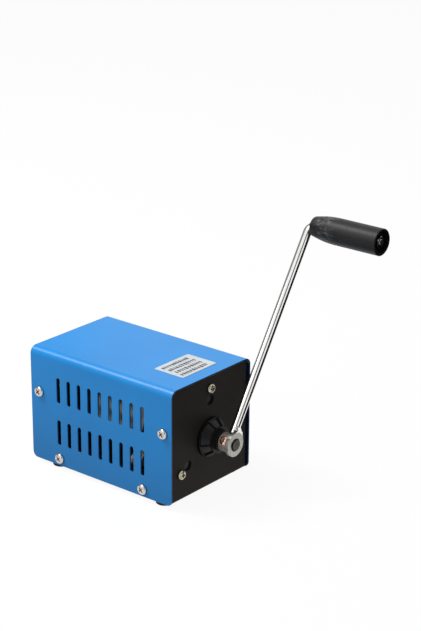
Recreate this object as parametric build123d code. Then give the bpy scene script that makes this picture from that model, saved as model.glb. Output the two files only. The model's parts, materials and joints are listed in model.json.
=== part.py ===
from build123d import *
import os
from math import acos, asin, cos, pi, radians, sin, tan

os.makedirs("parts", exist_ok=True)

# A hand crank generator: a folded blue cover over a black chassis, with a planetary gearbox and a
# direct-current machine inside, a crank with a turning grip, and a charging panel at the back.
# Millimetres. +X points out of the crank panel, +Z is up, and -Y is the slotted side seen in front.
# The origin is on the surface that the feet stand on, under the middle of the case.

# ---- clearances ----
sheet_gap = 0.15          # between the cover and the chassis inside it
seat_gap = 0.05           # round a piece that sits in another one, on the radius
running_gap = 0.08        # round a shaft or pin that turns, on the radius
side_play = 0.5           # along X, between pieces that turn past each other
gear_backlash = 0.16      # between meshing teeth, along the pitch circle
press_gap = 0.01          # round a shaft or pin that is pressed in, on the radius
screw_gap = 0.25          # round a screw's shank in a plain hole, on the radius
head_gap = 0.3            # round a screw's head in a sunk seat, on the radius
past = 1.0                # a cut runs this far past a piece, and joined shapes sink in this far

# ---- cover ----
case_length = 124.0
case_width = 80.0
cover_height = 80.0
cover_sheet = 1.0
cover_bend = 5.0          # outer radius of the two folds
cover_corner = 4.0        # rounding of the lower corners
foot_drop = 3.0           # from the resting surface up to the cover's lower edge

vent_count = 9
vent_pitch = 9.275
vent_width = 3.2
vent_height = 18.1
vent_rows = (23.95, 54.35)    # heights of the rows' middles over the cover's lower edge

# ---- side screws ----
side_head = 7.4
side_head_height = 1.9
side_turn = 42.0          # of the cross recess about the screw
side_shank = 2.9
side_screw_length = 6.0
side_hole = 3.4
end_screw_inset = 7.5     # from the cover's end
end_screw_height = 49.5   # over the cover's lower edge
base_screw_x = 37.0
base_screw_height = 5.2
drive_share = 0.52        # width of a screw's cross recess over its head
drive_slot_share = 0.26   # width of the cross's arms over the recess
drive_depth_share = 0.7   # depth of the recess over the head's height
head_round_share = 0.75   # rounding of the head over its height

# ---- chassis ----
chassis_sheet = 1.2
chassis_bend = 0.8        # inner radius of its folds
panel_recess = 1.2        # the end plates lie this far inside the cover's ends
base_lift = 0.5           # its underside lies this far above the cover's lower edge
end_flange_depth = 13.0
end_flange_low = 14.0     # over the cover's lower edge
end_flange_high = 71.0
base_flange_height = 10.0
base_flange_overhang = 9.0    # past the screw

# ---- feet ----
foot_top = 12.0
foot_bottom = 11.6
foot_round = 0.5
foot_side_inset = 7.5     # of a foot's middle, from the cover's side
foot_front_inset = 12.4   # from the cover's crank end
foot_rear_inset = 19.2    # from the cover's other end
foot_screw_head = 5.4
foot_screw_head_height = 1.4
foot_screw_shank = 2.9
foot_screw_length = 5.5
foot_pit_depth = 2.2

# ---- crank axis and gears ----
axis_height = 36.0        # over the cover's lower edge
gear_module = 0.9
sun_teeth = 12
planet_teeth = 24
planet_count = 3
pressure_angle = 20.0
gear_width = 14.0
ring_rim = 2.9
planet_pin = 4.0
flank_points = 3

# ---- gearbox ----
housing_wall = 2.0
housing_front_wall = 4.0
panel_screw_circle = 34.0     # radius of the three screws in the crank panel
panel_hole_circle = 26.0      # radius of the three open holes beside them
panel_hole = 7.0
ear_radius = 5.0
panel_screw_head = 6.8
panel_screw_head_height = 2.2
panel_screw_shank = 3.9
panel_screw_length = 13.0
carrier_front_plate = 5.0
carrier_back_plate = 4.0
carrier_rim = 3.0         # round the planet pins
carrier_sun_gap = 1.0     # round the sun gear, on the radius
carrier_post = 5.0
carrier_post_circle = 17.6
motor_plate_thickness = 9.0
motor_plate_bore_gap = 1.0    # round the machine's bearing, on the radius
gearbox_screw_head = 5.5
gearbox_screw_head_height = 2.0
gearbox_screw_shank = 2.9
gearbox_screw_length = 16.0

# ---- bearing boss in the crank panel ----
boss_radius = 13.2
boss_hole_gap = 0.3
boss_shoulder_radius = 9.2
boss_shoulder_reach = 6.3     # past the cover's end
boss_nose_radius = 7.3
boss_nose_reach = 10.0
boss_floor_reach = 0.6
boss_ribs = 8
boss_rib = 1.3
boss_pocket = 1.5              # depth of the pockets between the ribs
boss_rib_turn = 15.0
bush_wall = 1.6

# ---- crank ----
shaft = 8.0
shaft_reach = 20.9            # past the cover's end
shaft_chamfer = 0.4
hub_start = 10.4
hub_radius = 6.3
eye_back = 17.8
eye_front = 20.0
eye_radius = 8.0
crank_lean = 32.45            # of the arm from upright, towards +Y
arm_rod = 6.0
arm_reach = 15.3              # middle of the rod past the cover's end
arm_length = 151.8            # from the shaft's axis to the grip's axis
arm_bend = 5.0
arm_root = 7.0                # where the rod starts, from the shaft's axis
neck_end = 9.6
neck_width = 4.4
neck_start = 1.0              # of the wedge under the rod, past the eye's edge
neck_tail = 3.0               # how far the wedge runs on past the neck
neck_tail_width = 4.2
neck_tail_thickness = 3.6
clamp_reach = 14.5
clamp_head = 5.8
clamp_head_height = 1.8
clamp_shank = 2.9
clamp_shank_depth = 5.2       # below the head
clamp_seat_depth = 0.5        # of the head's seat in the hub

# ---- grip ----
grip_start = 3.4              # past the rod's middle, along the grip's axis
grip_end = 56.8
grip_small = 6.7              # radius at the arm's end
grip_large = 8.95
grip_swell = 20.0             # length of the swelling part
grip_swell_middle = (0.45, 0.66)  # share of its length where it has this share of its growth
grip_swell_slope = 0.24       # at its start
grip_mouth = 5.2              # radius of the mouth over the rod's bend
grip_mouth_depth = 3.6
grip_recess = 7.6
grip_recess_depth = 4.6
grip_edge = 0.7           # rounding of its nose, as half the radius
grip_rim = 0.35           # chamfer of its other end
stud = 4.0
stud_reach = 56.4
grip_washer_radius = 4.6
grip_washer_thickness = 0.8
grip_nut_flats = 7.0
grip_nut_height = 2.8
grip_nut_chamfer = 0.5

# ---- electric machine ----
can_radius = 22.0
can_wall = 1.5
can_length = 46.0
can_front_wall = 2.0
end_cap_thickness = 5.0
end_cap_spigot = 3.0          # its ring inside the can
end_cap_spigot_wall = 2.0
rotor_shaft = 5.0
rotor_shaft_tail = 1.0        # past the end cap
magnet_thickness = 3.0
magnet_span = 132.0
air_gap = 0.6
core_length = 26.0
core_slots = 7
core_slot = 4.2
core_shift = 2.0              # towards the crank from the can's middle
core_hub_radius = 6.2
winding_bulge = 4.0
winding_sink = 1.2            # below the core's outside
winding_gap = 0.1             # to the core, in the slots and at its ends
winding_inner_gap = 0.3       # over the core's hub
bearing_radius = 6.5
bearing_length = 5.0
commutator_radius = 5.0
commutator_length = 7.0
commutator_bars = 8
commutator_groove = 0.4
commutator_groove_depth = 0.6
commutator_inset = 0.5        # from the end cap
brush_gap = 0.1
brush_width = 3.2
brush_length = 5.0
terminal_width = 5.0
terminal_thickness = 0.8
terminal_reach = 5.0
terminal_y = 12.0
motor_screw_circle = 14.5
motor_screw_head = 5.5
motor_screw_head_height = 2.0
motor_screw_shank = 2.9
motor_screw_length = 9.0

# ---- charging panel at the back ----
board_width = 64.0
board_height = 30.0
board_thickness = 1.6
board_z = 45.0
standoff_length = 12.0
standoff_radius = 2.6
standoff_inset = 3.6
board_screw_head = 5.0
board_screw_head_height = 1.6
board_screw_shank = 2.6
board_screw_length = 4.0
usb_width = 13.2
usb_height = 15.6
usb_edge_inset = 13.0         # of the ports' middle, from the board's edge
usb_reach = 0.8               # past the panel's face
usb_wall = 0.6
usb_mouth_height = 5.2
usb_tongue = 2.0
usb_tongue_inset = 1.5        # behind the panel's face
usb_tongue_gap = 0.5          # to the shell above it
usb_tongue_side_gap = 0.4
usb_back_wall = 2.0
port_gap = 0.3
meter_width = 33.0
meter_height = 17.0
meter_z = 70.0
meter_bezel = 1.8
meter_body_depth = 9.0
meter_rim = 1.6
meter_frame = 1.4             # round the window, past the rim
meter_corner = 1.2
meter_window_inset = 0.2
meter_window_depth = 1.0
pot_edge_inset = 13.0         # from the board's other edge
pot_radius = 8.0
pot_depth = 8.0
pot_thread = 7.0
pot_thread_length = 6.0
pot_shaft = 5.0
pot_nut_flats = 10.0
pot_nut_height = 2.0
knob_radius = 8.0
knob_height = 12.0
knob_ribs = 18
knob_rib = 0.7
knob_gap = 0.6                # to the nut on the panel, and round the nut and thread inside
knob_cap = 2.5                # over the shaft's end
knob_round = 1.0
knob_rib_start = 1.5          # of the ribs, from its outer end
knob_mark_depth = 0.8
knob_mark_width = 1.2
knob_mark_start = 1.5         # from its axis
socket_y = 9.5
socket_z = 17.0
socket_flange = 5.8
socket_flange_height = 3.4
socket_thread = 7.6
socket_thread_length = 14.0
socket_nut_flats = 11.0
socket_nut_height = 2.4
socket_bore = 4.0
socket_sleeve_wall = 0.9
socket_depth = 14.0
socket_round = 1.0
socket_sleeve_inset = 0.4     # behind the flange's face
socket_tail = 4.0             # of the sleeve, past the thread

# ---- board parts ----
capacitor_radius = 4.0
capacitor_height = 8.5
capacitor_round = 0.6
capacitor_spots = ((-14.0, 6.0), (-4.0, 6.0))
choke_outer = 6.0
choke_inner = 2.6
choke_height = 6.0
choke_round = 1.0
choke_spot = (-8.0, -8.0)
sink_width = 16.0
sink_height = 14.0
sink_base = 2.0
sink_fins = 5
sink_fin = 1.0
sink_depth = 8.0
sink_y = 14.0
sink_up = 5.0                 # over the middle of the board
chip_thickness = 2.4
chip_width = 10.0

# ---- leads ----
lead_diameter = 1.6
lead_straight = 4.0           # its straight ends
lead_spread = 9.0             # sideways from the tab to the board
lead_drop = 4.5
lead_bend_share = 0.45        # of the shorter run, that a bend takes up

# ---- label ----
label_length = 24.5           # along X
label_width = 34.0
label_thickness = 0.2
label_end_gap = 10.0          # from the cover's crank end
label_corner = 1.0

# ---- worked out from the sizes above ----
case_end = case_length / 2
cover_low = foot_drop
cover_top = foot_drop + cover_height
axis_z = cover_low + axis_height
inner_width = case_width - 2 * cover_sheet
chassis_width = inner_width - 2 * sheet_gap
chassis_low = cover_low + base_lift
base_top = chassis_low + chassis_sheet
chassis_top = cover_top - cover_sheet - sheet_gap
panel_face = case_end - panel_recess
panel_back = panel_face - chassis_sheet
end_screw_x = case_end - end_screw_inset
base_flange_end = base_screw_x + base_flange_overhang
foot_y = case_width / 2 - foot_side_inset
foot_front_x = case_end - foot_front_inset
foot_rear_x = foot_rear_inset - case_end

ring_teeth = sun_teeth + 2 * planet_teeth
sun_pitch = gear_module * sun_teeth / 2
planet_pitch = gear_module * planet_teeth / 2
ring_pitch = gear_module * ring_teeth / 2
addendum = 0.9 * gear_module
dedendum = 1.25 * gear_module
planet_orbit = sun_pitch + planet_pitch
ring_radius = ring_pitch + dedendum + ring_rim
housing_bore = ring_radius + seat_gap
housing_radius = housing_bore + housing_wall
carrier_radius = planet_orbit + planet_pin / 2 + carrier_rim

cavity_front = panel_back - housing_front_wall
carrier_front = cavity_front - side_play
carrier_mid = carrier_front - carrier_front_plate
gear_front = carrier_mid - side_play
gear_back = gear_front - gear_width
carrier_rear = gear_back - side_play
carrier_end = carrier_rear - carrier_back_plate
housing_end = carrier_end - side_play
motor_front = housing_end - motor_plate_thickness
can_end = motor_front - can_length
machine_end = can_end - end_cap_thickness

boss_tip = case_end + boss_nose_reach
boss_hole = boss_radius + boss_hole_gap
shaft_tip = case_end + shaft_reach
hub_front = case_end + eye_back
eye_face = case_end + eye_front
rod_x_middle = case_end + arm_reach

first_planet = 90.0 - crank_lean
planet_angles = [first_planet + 360.0 * k / planet_count for k in range(planet_count)]
ear_angles = (90.0, 210.0, 330.0)

rear_face = -panel_face
rear_inner = -panel_back
board_back = rear_inner + standoff_length
board_front = board_back + board_thickness
usb_y = usb_edge_inset - board_width / 2
usb_z = board_z
pot_y = board_width / 2 - pot_edge_inset
pot_z = board_z
board_holes = [
    (side * (board_width / 2 - standoff_inset), board_z + up * (board_height / 2 - standoff_inset))
    for side in (-1, 1)
    for up in (-1, 1)
]

to_axis = Pos(0, 0, axis_z)
with_crank = to_axis * Rot(-crank_lean, 0, 0)


# ---- helpers ----
def bar_x(radius, x_from, x_to, y=0.0, z=0.0):
    """A round bar along X."""
    turned = Rot(0, 90, 0) * Cylinder(radius, abs(x_to - x_from))
    return Pos((x_from + x_to) / 2, y, z) * turned


def tube_x(outer, inner, x_from, x_to, y=0.0, z=0.0):
    """A round tube along X."""
    return bar_x(outer, x_from, x_to, y, z) - bar_x(inner, x_from - past, x_to + past, y, z)


def block(x_from, x_to, y_from, y_to, z_from, z_to):
    """A box between two corners."""
    middle = Pos((x_from + x_to) / 2, (y_from + y_to) / 2, (z_from + z_to) / 2)
    return middle * Box(abs(x_to - x_from), abs(y_to - y_from), abs(z_to - z_from))


def hex_x(flats, x_from, x_to, y=0.0, z=0.0):
    """A hexagonal bar along X."""
    outline = Plane.YZ * RegularPolygon(flats / 2, 6, major_radius=False)
    return Pos(min(x_from, x_to), y, z) * extrude(outline, amount=abs(x_to - x_from))


def turned_x(points):
    """A solid turned about the X axis from (x, radius) points."""
    outline = make_face(Polyline(*[(x, radius) for x, radius in points], close=True))
    return revolve(Plane.XZ * outline, Axis.X, 360)


def around(radius, angle):
    """The (y, z) place on a circle round the X axis; angle runs from +Y towards +Z."""
    return radius * cos(radians(angle)), radius * sin(radians(angle))


def screw(head, head_height, shank, length):
    """A pan head screw with a cross recess; its seat is at z = 0 and its shank points down."""
    blank = Pos(0, 0, head_height / 2) * Cylinder(head / 2, head_height)
    blank = fillet(blank.edges().group_by(Axis.Z)[-1], head_height * head_round_share)
    drive = head * drive_share
    slot_width = drive * drive_slot_share
    depth = head_height * drive_depth_share
    recess = Box(drive, slot_width, depth) + Box(slot_width, drive, depth)
    body = blank + Pos(0, 0, -length / 2) * Cylinder(shank / 2, length)
    return body - Pos(0, 0, head_height - depth / 2) * recess


def facing_x(part, x, y, z, towards):
    """Puts a piece made upright along Z at a place, pointing to +X or -X."""
    return Pos(x, y, z) * Rot(0, 90 * towards, 0) * part


def facing_y(part, x, y, z, towards):
    """Puts a piece made upright along Z at a place, pointing to +Y or -Y."""
    return Pos(x, y, z) * Rot(-90 * towards, 0, 0) * part


def arch(width, height, bend):
    """An upright outline with two rounded upper corners, standing on y = 0."""
    plain = Pos(0, height / 2) * Rectangle(width, height)
    return fillet(plain.vertices().group_by(Axis.Y)[-1], bend)


def save(name, *solids):
    """Writes one node as a STEP file."""
    flat = [part for piece in solids for part in piece.solids()]
    export_step(flat[0] if len(flat) == 1 else Compound(flat), f"parts/{name}.step")


# ---- cover and chassis ----
def make_cover():
    shell = extrude(Plane.YZ.offset(-case_end) * arch(case_width, cover_height, cover_bend), case_length)
    inside = arch(inner_width, cover_height - cover_sheet, cover_bend - cover_sheet)
    shell -= extrude(Plane.YZ.offset(-case_end) * inside, case_length)
    lower = shell.edges().filter_by(Axis.Y).group_by(Axis.Z)[0]
    shell = fillet(lower, cover_corner)
    first = -(vent_count - 1) / 2 * vent_pitch
    vent = SlotOverall(vent_height, vent_width, rotation=90)
    for row in vent_rows:
        for step in range(vent_count):
            spot = Pos(first + step * vent_pitch, row)
            shell -= extrude(Plane.XZ * spot * vent, case_width, both=True)
    for x, z in side_screw_spots():
        shell -= Pos(x, 0, z - cover_low) * Rot(90, 0, 0) * Cylinder(side_hole / 2, 2 * case_width)
    return Pos(0, 0, cover_low) * shell


def side_screw_spots():
    """(x, z) of the four screws of one side."""
    high = cover_low + end_screw_height
    low = cover_low + base_screw_height
    return [(-end_screw_x, high), (end_screw_x, high), (-base_screw_x, low), (base_screw_x, low)]


def folded_tray():
    """An open-topped tray with folded edges, from which the chassis sheets are cut."""
    height = chassis_top - chassis_low
    outer_bend = chassis_bend + chassis_sheet
    outer = Box(2 * panel_face, chassis_width, height)
    outer = fillet(outer.edges().filter_by(Axis.Z) + outer.edges().group_by(Axis.Z)[0], outer_bend)
    inner = Box(2 * panel_back, chassis_width - 2 * chassis_sheet, height)
    inner = fillet(inner.edges().filter_by(Axis.Z) + inner.edges().group_by(Axis.Z)[0], chassis_bend)
    tray = outer - Pos(0, 0, chassis_sheet) * inner
    return Pos(0, 0, chassis_low + height / 2) * tray


def make_chassis():
    """The charging panel, the base and the crank panel: folded sheets, welded edge to edge."""
    body = folded_tray()
    side = chassis_width / 2 - chassis_sheet - chassis_bend
    flange_x = panel_face - end_flange_depth
    relief_x = panel_back - chassis_bend
    relief_z = base_top + chassis_bend
    flange_low = cover_low + end_flange_low
    flange_high = cover_low + end_flange_high
    base_flange_top = chassis_low + base_flange_height
    for hand in (-1, 1):
        wall = (hand * side, hand * case_width)
        body -= block(-flange_x, flange_x, *wall, base_flange_top, cover_top)
        for end in (-1, 1):
            edge = end * relief_x
            body -= block(end * base_flange_end, edge, *wall, chassis_low - past, flange_low)
            body -= block(end * (flange_x - past), edge, *wall, base_flange_top, flange_low)
            body -= block(end * (flange_x - past), edge, *wall, flange_high, cover_top)
    base_patch = block(-relief_x, relief_x, -side, side, chassis_low, relief_z)
    body -= base_patch - block(-relief_x, relief_x, -side, side, chassis_low, base_top)
    bend = cover_bend - cover_sheet - sheet_gap
    envelope = arch(chassis_width, chassis_top - chassis_low, bend)
    body &= Pos(0, 0, chassis_low) * extrude(Plane.YZ.offset(-case_end) * envelope, case_length)
    for x, z in side_screw_spots():
        tapped = Cylinder(side_shank / 2 + seat_gap, 2 * case_width)
        body -= Pos(x, 0, z) * Rot(90, 0, 0) * tapped
    for x, y in foot_spots():
        body -= Pos(x, y, chassis_low) * Cylinder(foot_screw_shank / 2 + seat_gap, 4 * chassis_sheet)
    body = body - crank_panel_holes() - rear_panel_holes()
    seam_z = (base_flange_top + flange_low) / 2
    base_zone = block(-relief_x, relief_x, -case_width, case_width, 0, seam_z)
    rear, front = (body - base_zone).solids().sort_by(Axis.X)
    return rear, body & base_zone, front


def crank_panel_holes():
    """What is cut from the crank panel."""
    plate = (panel_back - past, panel_face + past)
    cuts = bar_x(boss_hole, *plate, 0, axis_z)
    for angle in ear_angles:
        y, z = around(panel_screw_circle, angle)
        cuts += bar_x(panel_screw_shank / 2 + screw_gap, *plate, y, axis_z + z)
        y, z = around(panel_hole_circle, angle)
        cuts += bar_x(panel_hole / 2, *plate, y, axis_z + z)
    return cuts


def rear_panel_holes():
    """What is cut from the charging panel."""
    plate = (rear_face - past, rear_inner + past)
    usb_y_half = usb_width / 2 + port_gap
    usb_z_half = usb_height / 2 + port_gap
    cuts = block(*plate, usb_y - usb_y_half, usb_y + usb_y_half, usb_z - usb_z_half, usb_z + usb_z_half)
    inner_half = meter_width / 2 - meter_rim + port_gap
    inner_high = meter_height / 2 - meter_rim + port_gap
    cuts += block(*plate, -inner_half, inner_half, meter_z - inner_high, meter_z + inner_high)
    cuts += bar_x(pot_thread / 2 + seat_gap, *plate, pot_y, pot_z)
    for side in (-1, 1):
        cuts += bar_x(socket_thread / 2 + seat_gap, *plate, side * socket_y, socket_z)
    for y, z in board_holes:
        cuts += bar_x(board_screw_shank / 2 + screw_gap, *plate, y, z)
    return cuts


def make_side_screws():
    blank = Rot(0, 0, side_turn) * screw(side_head, side_head_height, side_shank, side_screw_length)
    wall = case_width / 2
    return [facing_y(blank, x, hand * wall, z, hand) for hand in (-1, 1) for x, z in side_screw_spots()]


# ---- feet ----
def foot_spots():
    return [(x, side * foot_y) for x in (foot_rear_x, foot_front_x) for side in (-1, 1)]


def make_feet():
    cone = Cone(foot_bottom / 2, foot_top / 2, chassis_low, align=(Align.CENTER, Align.CENTER, Align.MIN))
    cone = fillet(cone.edges().group_by(Axis.Z)[0], foot_round)
    upwards = (Align.CENTER, Align.CENTER, Align.MIN)
    cone -= Cylinder(foot_screw_shank / 2 + seat_gap, 3 * chassis_low)
    cone -= Cylinder(foot_screw_head / 2 + head_gap, foot_pit_depth, align=upwards)
    return [Pos(x, y, 0) * cone for x, y in foot_spots()]


def make_foot_screws():
    blank = screw(foot_screw_head, foot_screw_head_height, foot_screw_shank, foot_screw_length)
    return [Pos(x, y, foot_pit_depth) * Rot(180, 0, 0) * blank for x, y in foot_spots()]


# ---- gears ----
def tooth_half_angle(radius, teeth, extra):
    """Half the angle that a tooth fills at a radius, for an involute flank; extra widens it."""
    pitch = gear_module * teeth / 2
    base = pitch * cos(radians(pressure_angle))
    slope = acos(min(1.0, base / radius))
    involute = tan(slope) - slope
    pitch_involute = tan(radians(pressure_angle)) - radians(pressure_angle)
    return pi / (2 * teeth) + extra / (2 * pitch) + pitch_involute - involute


def gear_outline(teeth, root, tip, extra, phase):
    """A closed gear outline in the YZ plane, with a tooth in the direction of phase."""
    base = gear_module * teeth / 2 * cos(radians(pressure_angle))
    low = max(root, base)
    radii = [low + (tip - low) * k / (flank_points - 1) for k in range(flank_points)]
    if root < base:
        radii.insert(0, root)
    points = []
    for tooth in range(teeth):
        middle = radians(phase) + 2 * pi * tooth / teeth
        rising = [(r, middle - tooth_half_angle(r, teeth, extra)) for r in radii]
        falling = [(r, middle + tooth_half_angle(r, teeth, extra)) for r in reversed(radii)]
        points += [(r * cos(a), r * sin(a)) for r, a in rising + falling]
    return Plane.YZ * make_face(Polyline(*points, close=True))


def gear(teeth, phase, bore, y=0.0, z=0.0):
    """A spur gear along X between the gears' faces."""
    pitch = gear_module * teeth / 2
    outline = gear_outline(teeth, pitch - dedendum, pitch + addendum, -gear_backlash / 2, phase)
    wheel = Pos(gear_back, 0, 0) * extrude(outline, gear_width)
    wheel -= bar_x(bore, gear_back - past, gear_front + past)
    return Pos(0, y, z) * wheel


def make_ring_gear():
    cut = gear_outline(ring_teeth, ring_pitch - addendum, ring_pitch + dedendum, gear_backlash / 2, 0)
    ring = bar_x(ring_radius, gear_back - side_play, gear_front + side_play)
    ring -= Pos(gear_back - past, 0, 0) * extrude(cut, gear_width + 2 * past)
    return to_axis * ring


def make_planet(angle):
    """A planet turned so that its teeth enter the ring's spaces at this angle."""
    phase = angle * (1 - ring_teeth / planet_teeth)
    y, z = around(planet_orbit, angle)
    return to_axis * gear(planet_teeth, phase, planet_pin / 2 + running_gap, y, z)


def make_sun_gear():
    phase = 180.0 / sun_teeth + first_planet * (1 + ring_teeth / sun_teeth)
    return to_axis * gear(sun_teeth, phase, rotor_shaft / 2 + press_gap)


def make_planet_pins():
    pins = []
    for angle in planet_angles:
        y, z = around(planet_orbit, angle)
        pins.append(to_axis * bar_x(planet_pin / 2, carrier_end, carrier_front, y, z))
    return pins


def make_planet_carrier():
    """The driven plate with three posts between the planets."""
    plate = bar_x(carrier_radius, carrier_mid, carrier_front)
    for angle in planet_angles:
        y, z = around(carrier_post_circle, angle + 180.0 / planet_count)
        plate += bar_x(carrier_post / 2, carrier_rear, carrier_mid, y, z)
        y, z = around(planet_orbit, angle)
        plate -= bar_x(planet_pin / 2 + press_gap, carrier_mid - past, carrier_front + past, y, z)
    plate -= bar_x(shaft / 2 + press_gap, carrier_mid - past, carrier_front + past)
    return to_axis * plate


def make_carrier_back():
    inner = sun_pitch + addendum + carrier_sun_gap
    plate = tube_x(carrier_radius, inner, carrier_end, carrier_rear)
    for angle in planet_angles:
        y, z = around(planet_orbit, angle)
        plate -= bar_x(planet_pin / 2 + press_gap, carrier_end - past, carrier_rear + past, y, z)
    return to_axis * plate


# ---- gearbox ----
def ears(x_from, x_to):
    """Three screw ears with webs that reach them from the wall."""
    pieces = []
    for angle in ear_angles:
        y, z = around(panel_screw_circle, angle)
        web = block(x_from, x_to, housing_bore + seat_gap, panel_screw_circle, -ear_radius, ear_radius)
        pieces.append(bar_x(ear_radius, x_from, x_to, y, z) + Rot(angle, 0, 0) * web)
    return pieces


def make_gearbox_housing():
    boss_floor = case_end + boss_floor_reach
    shoulder = case_end + boss_shoulder_reach
    body = turned_x([
        (housing_end, housing_bore),
        (housing_end, housing_radius),
        (panel_back, housing_radius),
        (panel_back, boss_radius),
        (boss_floor, boss_radius),
        (boss_floor, boss_radius - boss_pocket),
        (shoulder, boss_shoulder_radius - boss_pocket),
        (shoulder, boss_nose_radius),
        (boss_tip, boss_nose_radius),
        (boss_tip, 0),
        (cavity_front, 0),
        (cavity_front, housing_bore),
    ])
    for ear in ears(housing_end, panel_back):
        body += ear
    body -= bar_x(housing_bore, housing_end - past, cavity_front)
    rib_face = Plane.XZ * make_face(Polyline(
        (boss_floor - past, boss_nose_radius - past),
        (boss_floor - past, boss_radius),
        (boss_floor, boss_radius),
        (shoulder, boss_shoulder_radius),
        (shoulder, boss_nose_radius - past),
        close=True,
    ))
    rib = extrude(rib_face, boss_rib / 2, both=True)
    for step in range(boss_ribs):
        turn = boss_rib_turn + 360 * step / boss_ribs - 90
        body += Rot(turn, 0, 0) * rib
    body += tube_x(boss_shoulder_radius, boss_nose_radius - past, shoulder, shoulder + boss_rib)
    body -= bar_x(shaft / 2 + running_gap + bush_wall, cavity_front - past, boss_tip + past)
    for angle in ear_angles:
        y, z = around(panel_screw_circle, angle)
        depth = panel_screw_length - chassis_sheet + past
        body -= bar_x(panel_screw_shank / 2 + seat_gap, panel_back - depth, panel_back + past, y, z)
        depth = gearbox_screw_length - motor_plate_thickness + gearbox_screw_head_height + past
        tapped = gearbox_screw_shank / 2 + seat_gap
        body -= bar_x(tapped, housing_end - past, housing_end + depth, y, z)
    return to_axis * body


def make_shaft_bush():
    inner = shaft / 2 + running_gap
    outer = inner + bush_wall - press_gap
    return to_axis * tube_x(outer, inner, cavity_front, boss_tip)


def make_panel_screws():
    blank = screw(panel_screw_head, panel_screw_head_height, panel_screw_shank, panel_screw_length)
    spots = [around(panel_screw_circle, angle) for angle in ear_angles]
    return [facing_x(blank, panel_face, y, axis_z + z, 1) for y, z in spots]


def make_motor_plate():
    """Closes the gearbox and carries the electric machine."""
    plate = bar_x(housing_radius, motor_front, housing_end)
    for ear in ears(motor_front, housing_end):
        plate += ear
    plate -= bar_x(bearing_radius + motor_plate_bore_gap, motor_front - past, housing_end + past)
    for angle in ear_angles:
        y, z = around(panel_screw_circle, angle)
        plate -= bar_x(gearbox_screw_shank / 2 + screw_gap, motor_front - past, housing_end + past, y, z)
        sunk = motor_front + gearbox_screw_head_height
        plate -= bar_x(gearbox_screw_head / 2 + head_gap, motor_front - past, sunk, y, z)
    for angle in (0, 180):
        y, z = around(motor_screw_circle, angle)
        plate -= bar_x(motor_screw_shank / 2 + screw_gap, motor_front - past, housing_end + past, y, z)
        sunk = housing_end - motor_screw_head_height
        plate -= bar_x(motor_screw_head / 2 + head_gap, sunk, housing_end + past, y, z)
    return to_axis * plate


def make_gearbox_screws():
    blank = screw(gearbox_screw_head, gearbox_screw_head_height, gearbox_screw_shank, gearbox_screw_length)
    seat = motor_front + gearbox_screw_head_height
    spots = [around(panel_screw_circle, angle) for angle in ear_angles]
    return [facing_x(blank, seat, y, axis_z + z, -1) for y, z in spots]


# ---- crank ----
def make_crank_shaft():
    body = bar_x(shaft / 2, carrier_mid, shaft_tip)
    body = chamfer(body.edges().group_by(Axis.X)[-1], shaft_chamfer)
    drilled = Cylinder(clamp_shank / 2 + seat_gap, shaft / 2, align=(Align.CENTER, Align.CENTER, Align.MIN))
    body -= Pos(case_end + clamp_reach, 0, 0) * Rot(90, 0, 0) * drilled
    return with_crank * body


def clamp_seat():
    """Height of the flat under the clamp screw's head, from the shaft's axis."""
    return hub_radius - clamp_seat_depth


def make_crank_hub():
    sleeve = tube_x(hub_radius, shaft / 2 + press_gap, case_end + hub_start, hub_front)
    place = Pos(case_end + clamp_reach, 0, 0) * Rot(90, 0, 0)
    bottom = (Align.CENTER, Align.CENTER, Align.MIN)
    sleeve -= place * Cylinder(clamp_shank / 2 + seat_gap, hub_radius + past, align=bottom)
    seat = Cylinder(clamp_head / 2 + 2 * seat_gap, hub_radius, align=bottom)
    sleeve -= place * Pos(0, 0, clamp_seat()) * seat
    return with_crank * sleeve


def make_clamp_screw():
    blank = screw(clamp_head, clamp_head_height, clamp_shank, clamp_shank_depth)
    return with_crank * Pos(case_end + clamp_reach, 0, 0) * Rot(90, 0, 0) * Pos(0, 0, clamp_seat()) * blank


def make_crank_arm():
    """The eye, its flattened neck, the rod, its bend and the spindle for the grip."""
    plate_mid = (hub_front + eye_face) / 2
    plate = eye_face - hub_front
    eye = bar_x(eye_radius, hub_front, eye_face)
    tangent = asin((eye_radius - neck_width / 2) / neck_end)
    shoulder_y = eye_radius * cos(tangent)
    shoulder_z = eye_radius * sin(tangent)
    neck = make_face(Polyline(
        (-shoulder_y, shoulder_z),
        (shoulder_y, shoulder_z),
        (neck_width / 2, neck_end),
        (-neck_width / 2, neck_end),
        close=True,
    ))
    eye += extrude(Plane.YZ.offset(plate_mid) * neck, plate / 2, both=True)
    path = FilletPolyline(
        (rod_x_middle, 0, arm_root),
        (rod_x_middle, 0, arm_length),
        (rod_x_middle + grip_end - grip_recess_depth, 0, arm_length),
        radius=arm_bend,
    )
    rod = sweep(Plane((rod_x_middle, 0, arm_root), z_dir=(0, 0, 1)) * Circle(arm_rod / 2), path)
    wedge_low = eye_radius + neck_start
    wedge = loft([
        Plane((plate_mid, 0, wedge_low), x_dir=(0, 1, 0), z_dir=(0, 0, 1)) * Rectangle(neck_width, plate),
        Plane((rod_x_middle, 0, neck_end + neck_tail), x_dir=(0, 1, 0), z_dir=(0, 0, 1))
        * Rectangle(neck_tail_width, neck_tail_thickness),
    ])
    body = eye + rod + wedge
    spindle_end = rod_x_middle + grip_end - grip_recess_depth
    body += bar_x(stud / 2, spindle_end - past, rod_x_middle + stud_reach, 0, arm_length)
    body -= bar_x(shaft / 2 + seat_gap, case_end, shaft_tip + past)
    body -= bar_x(hub_radius + 2 * press_gap, case_end, hub_front)
    return with_crank * body


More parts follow.
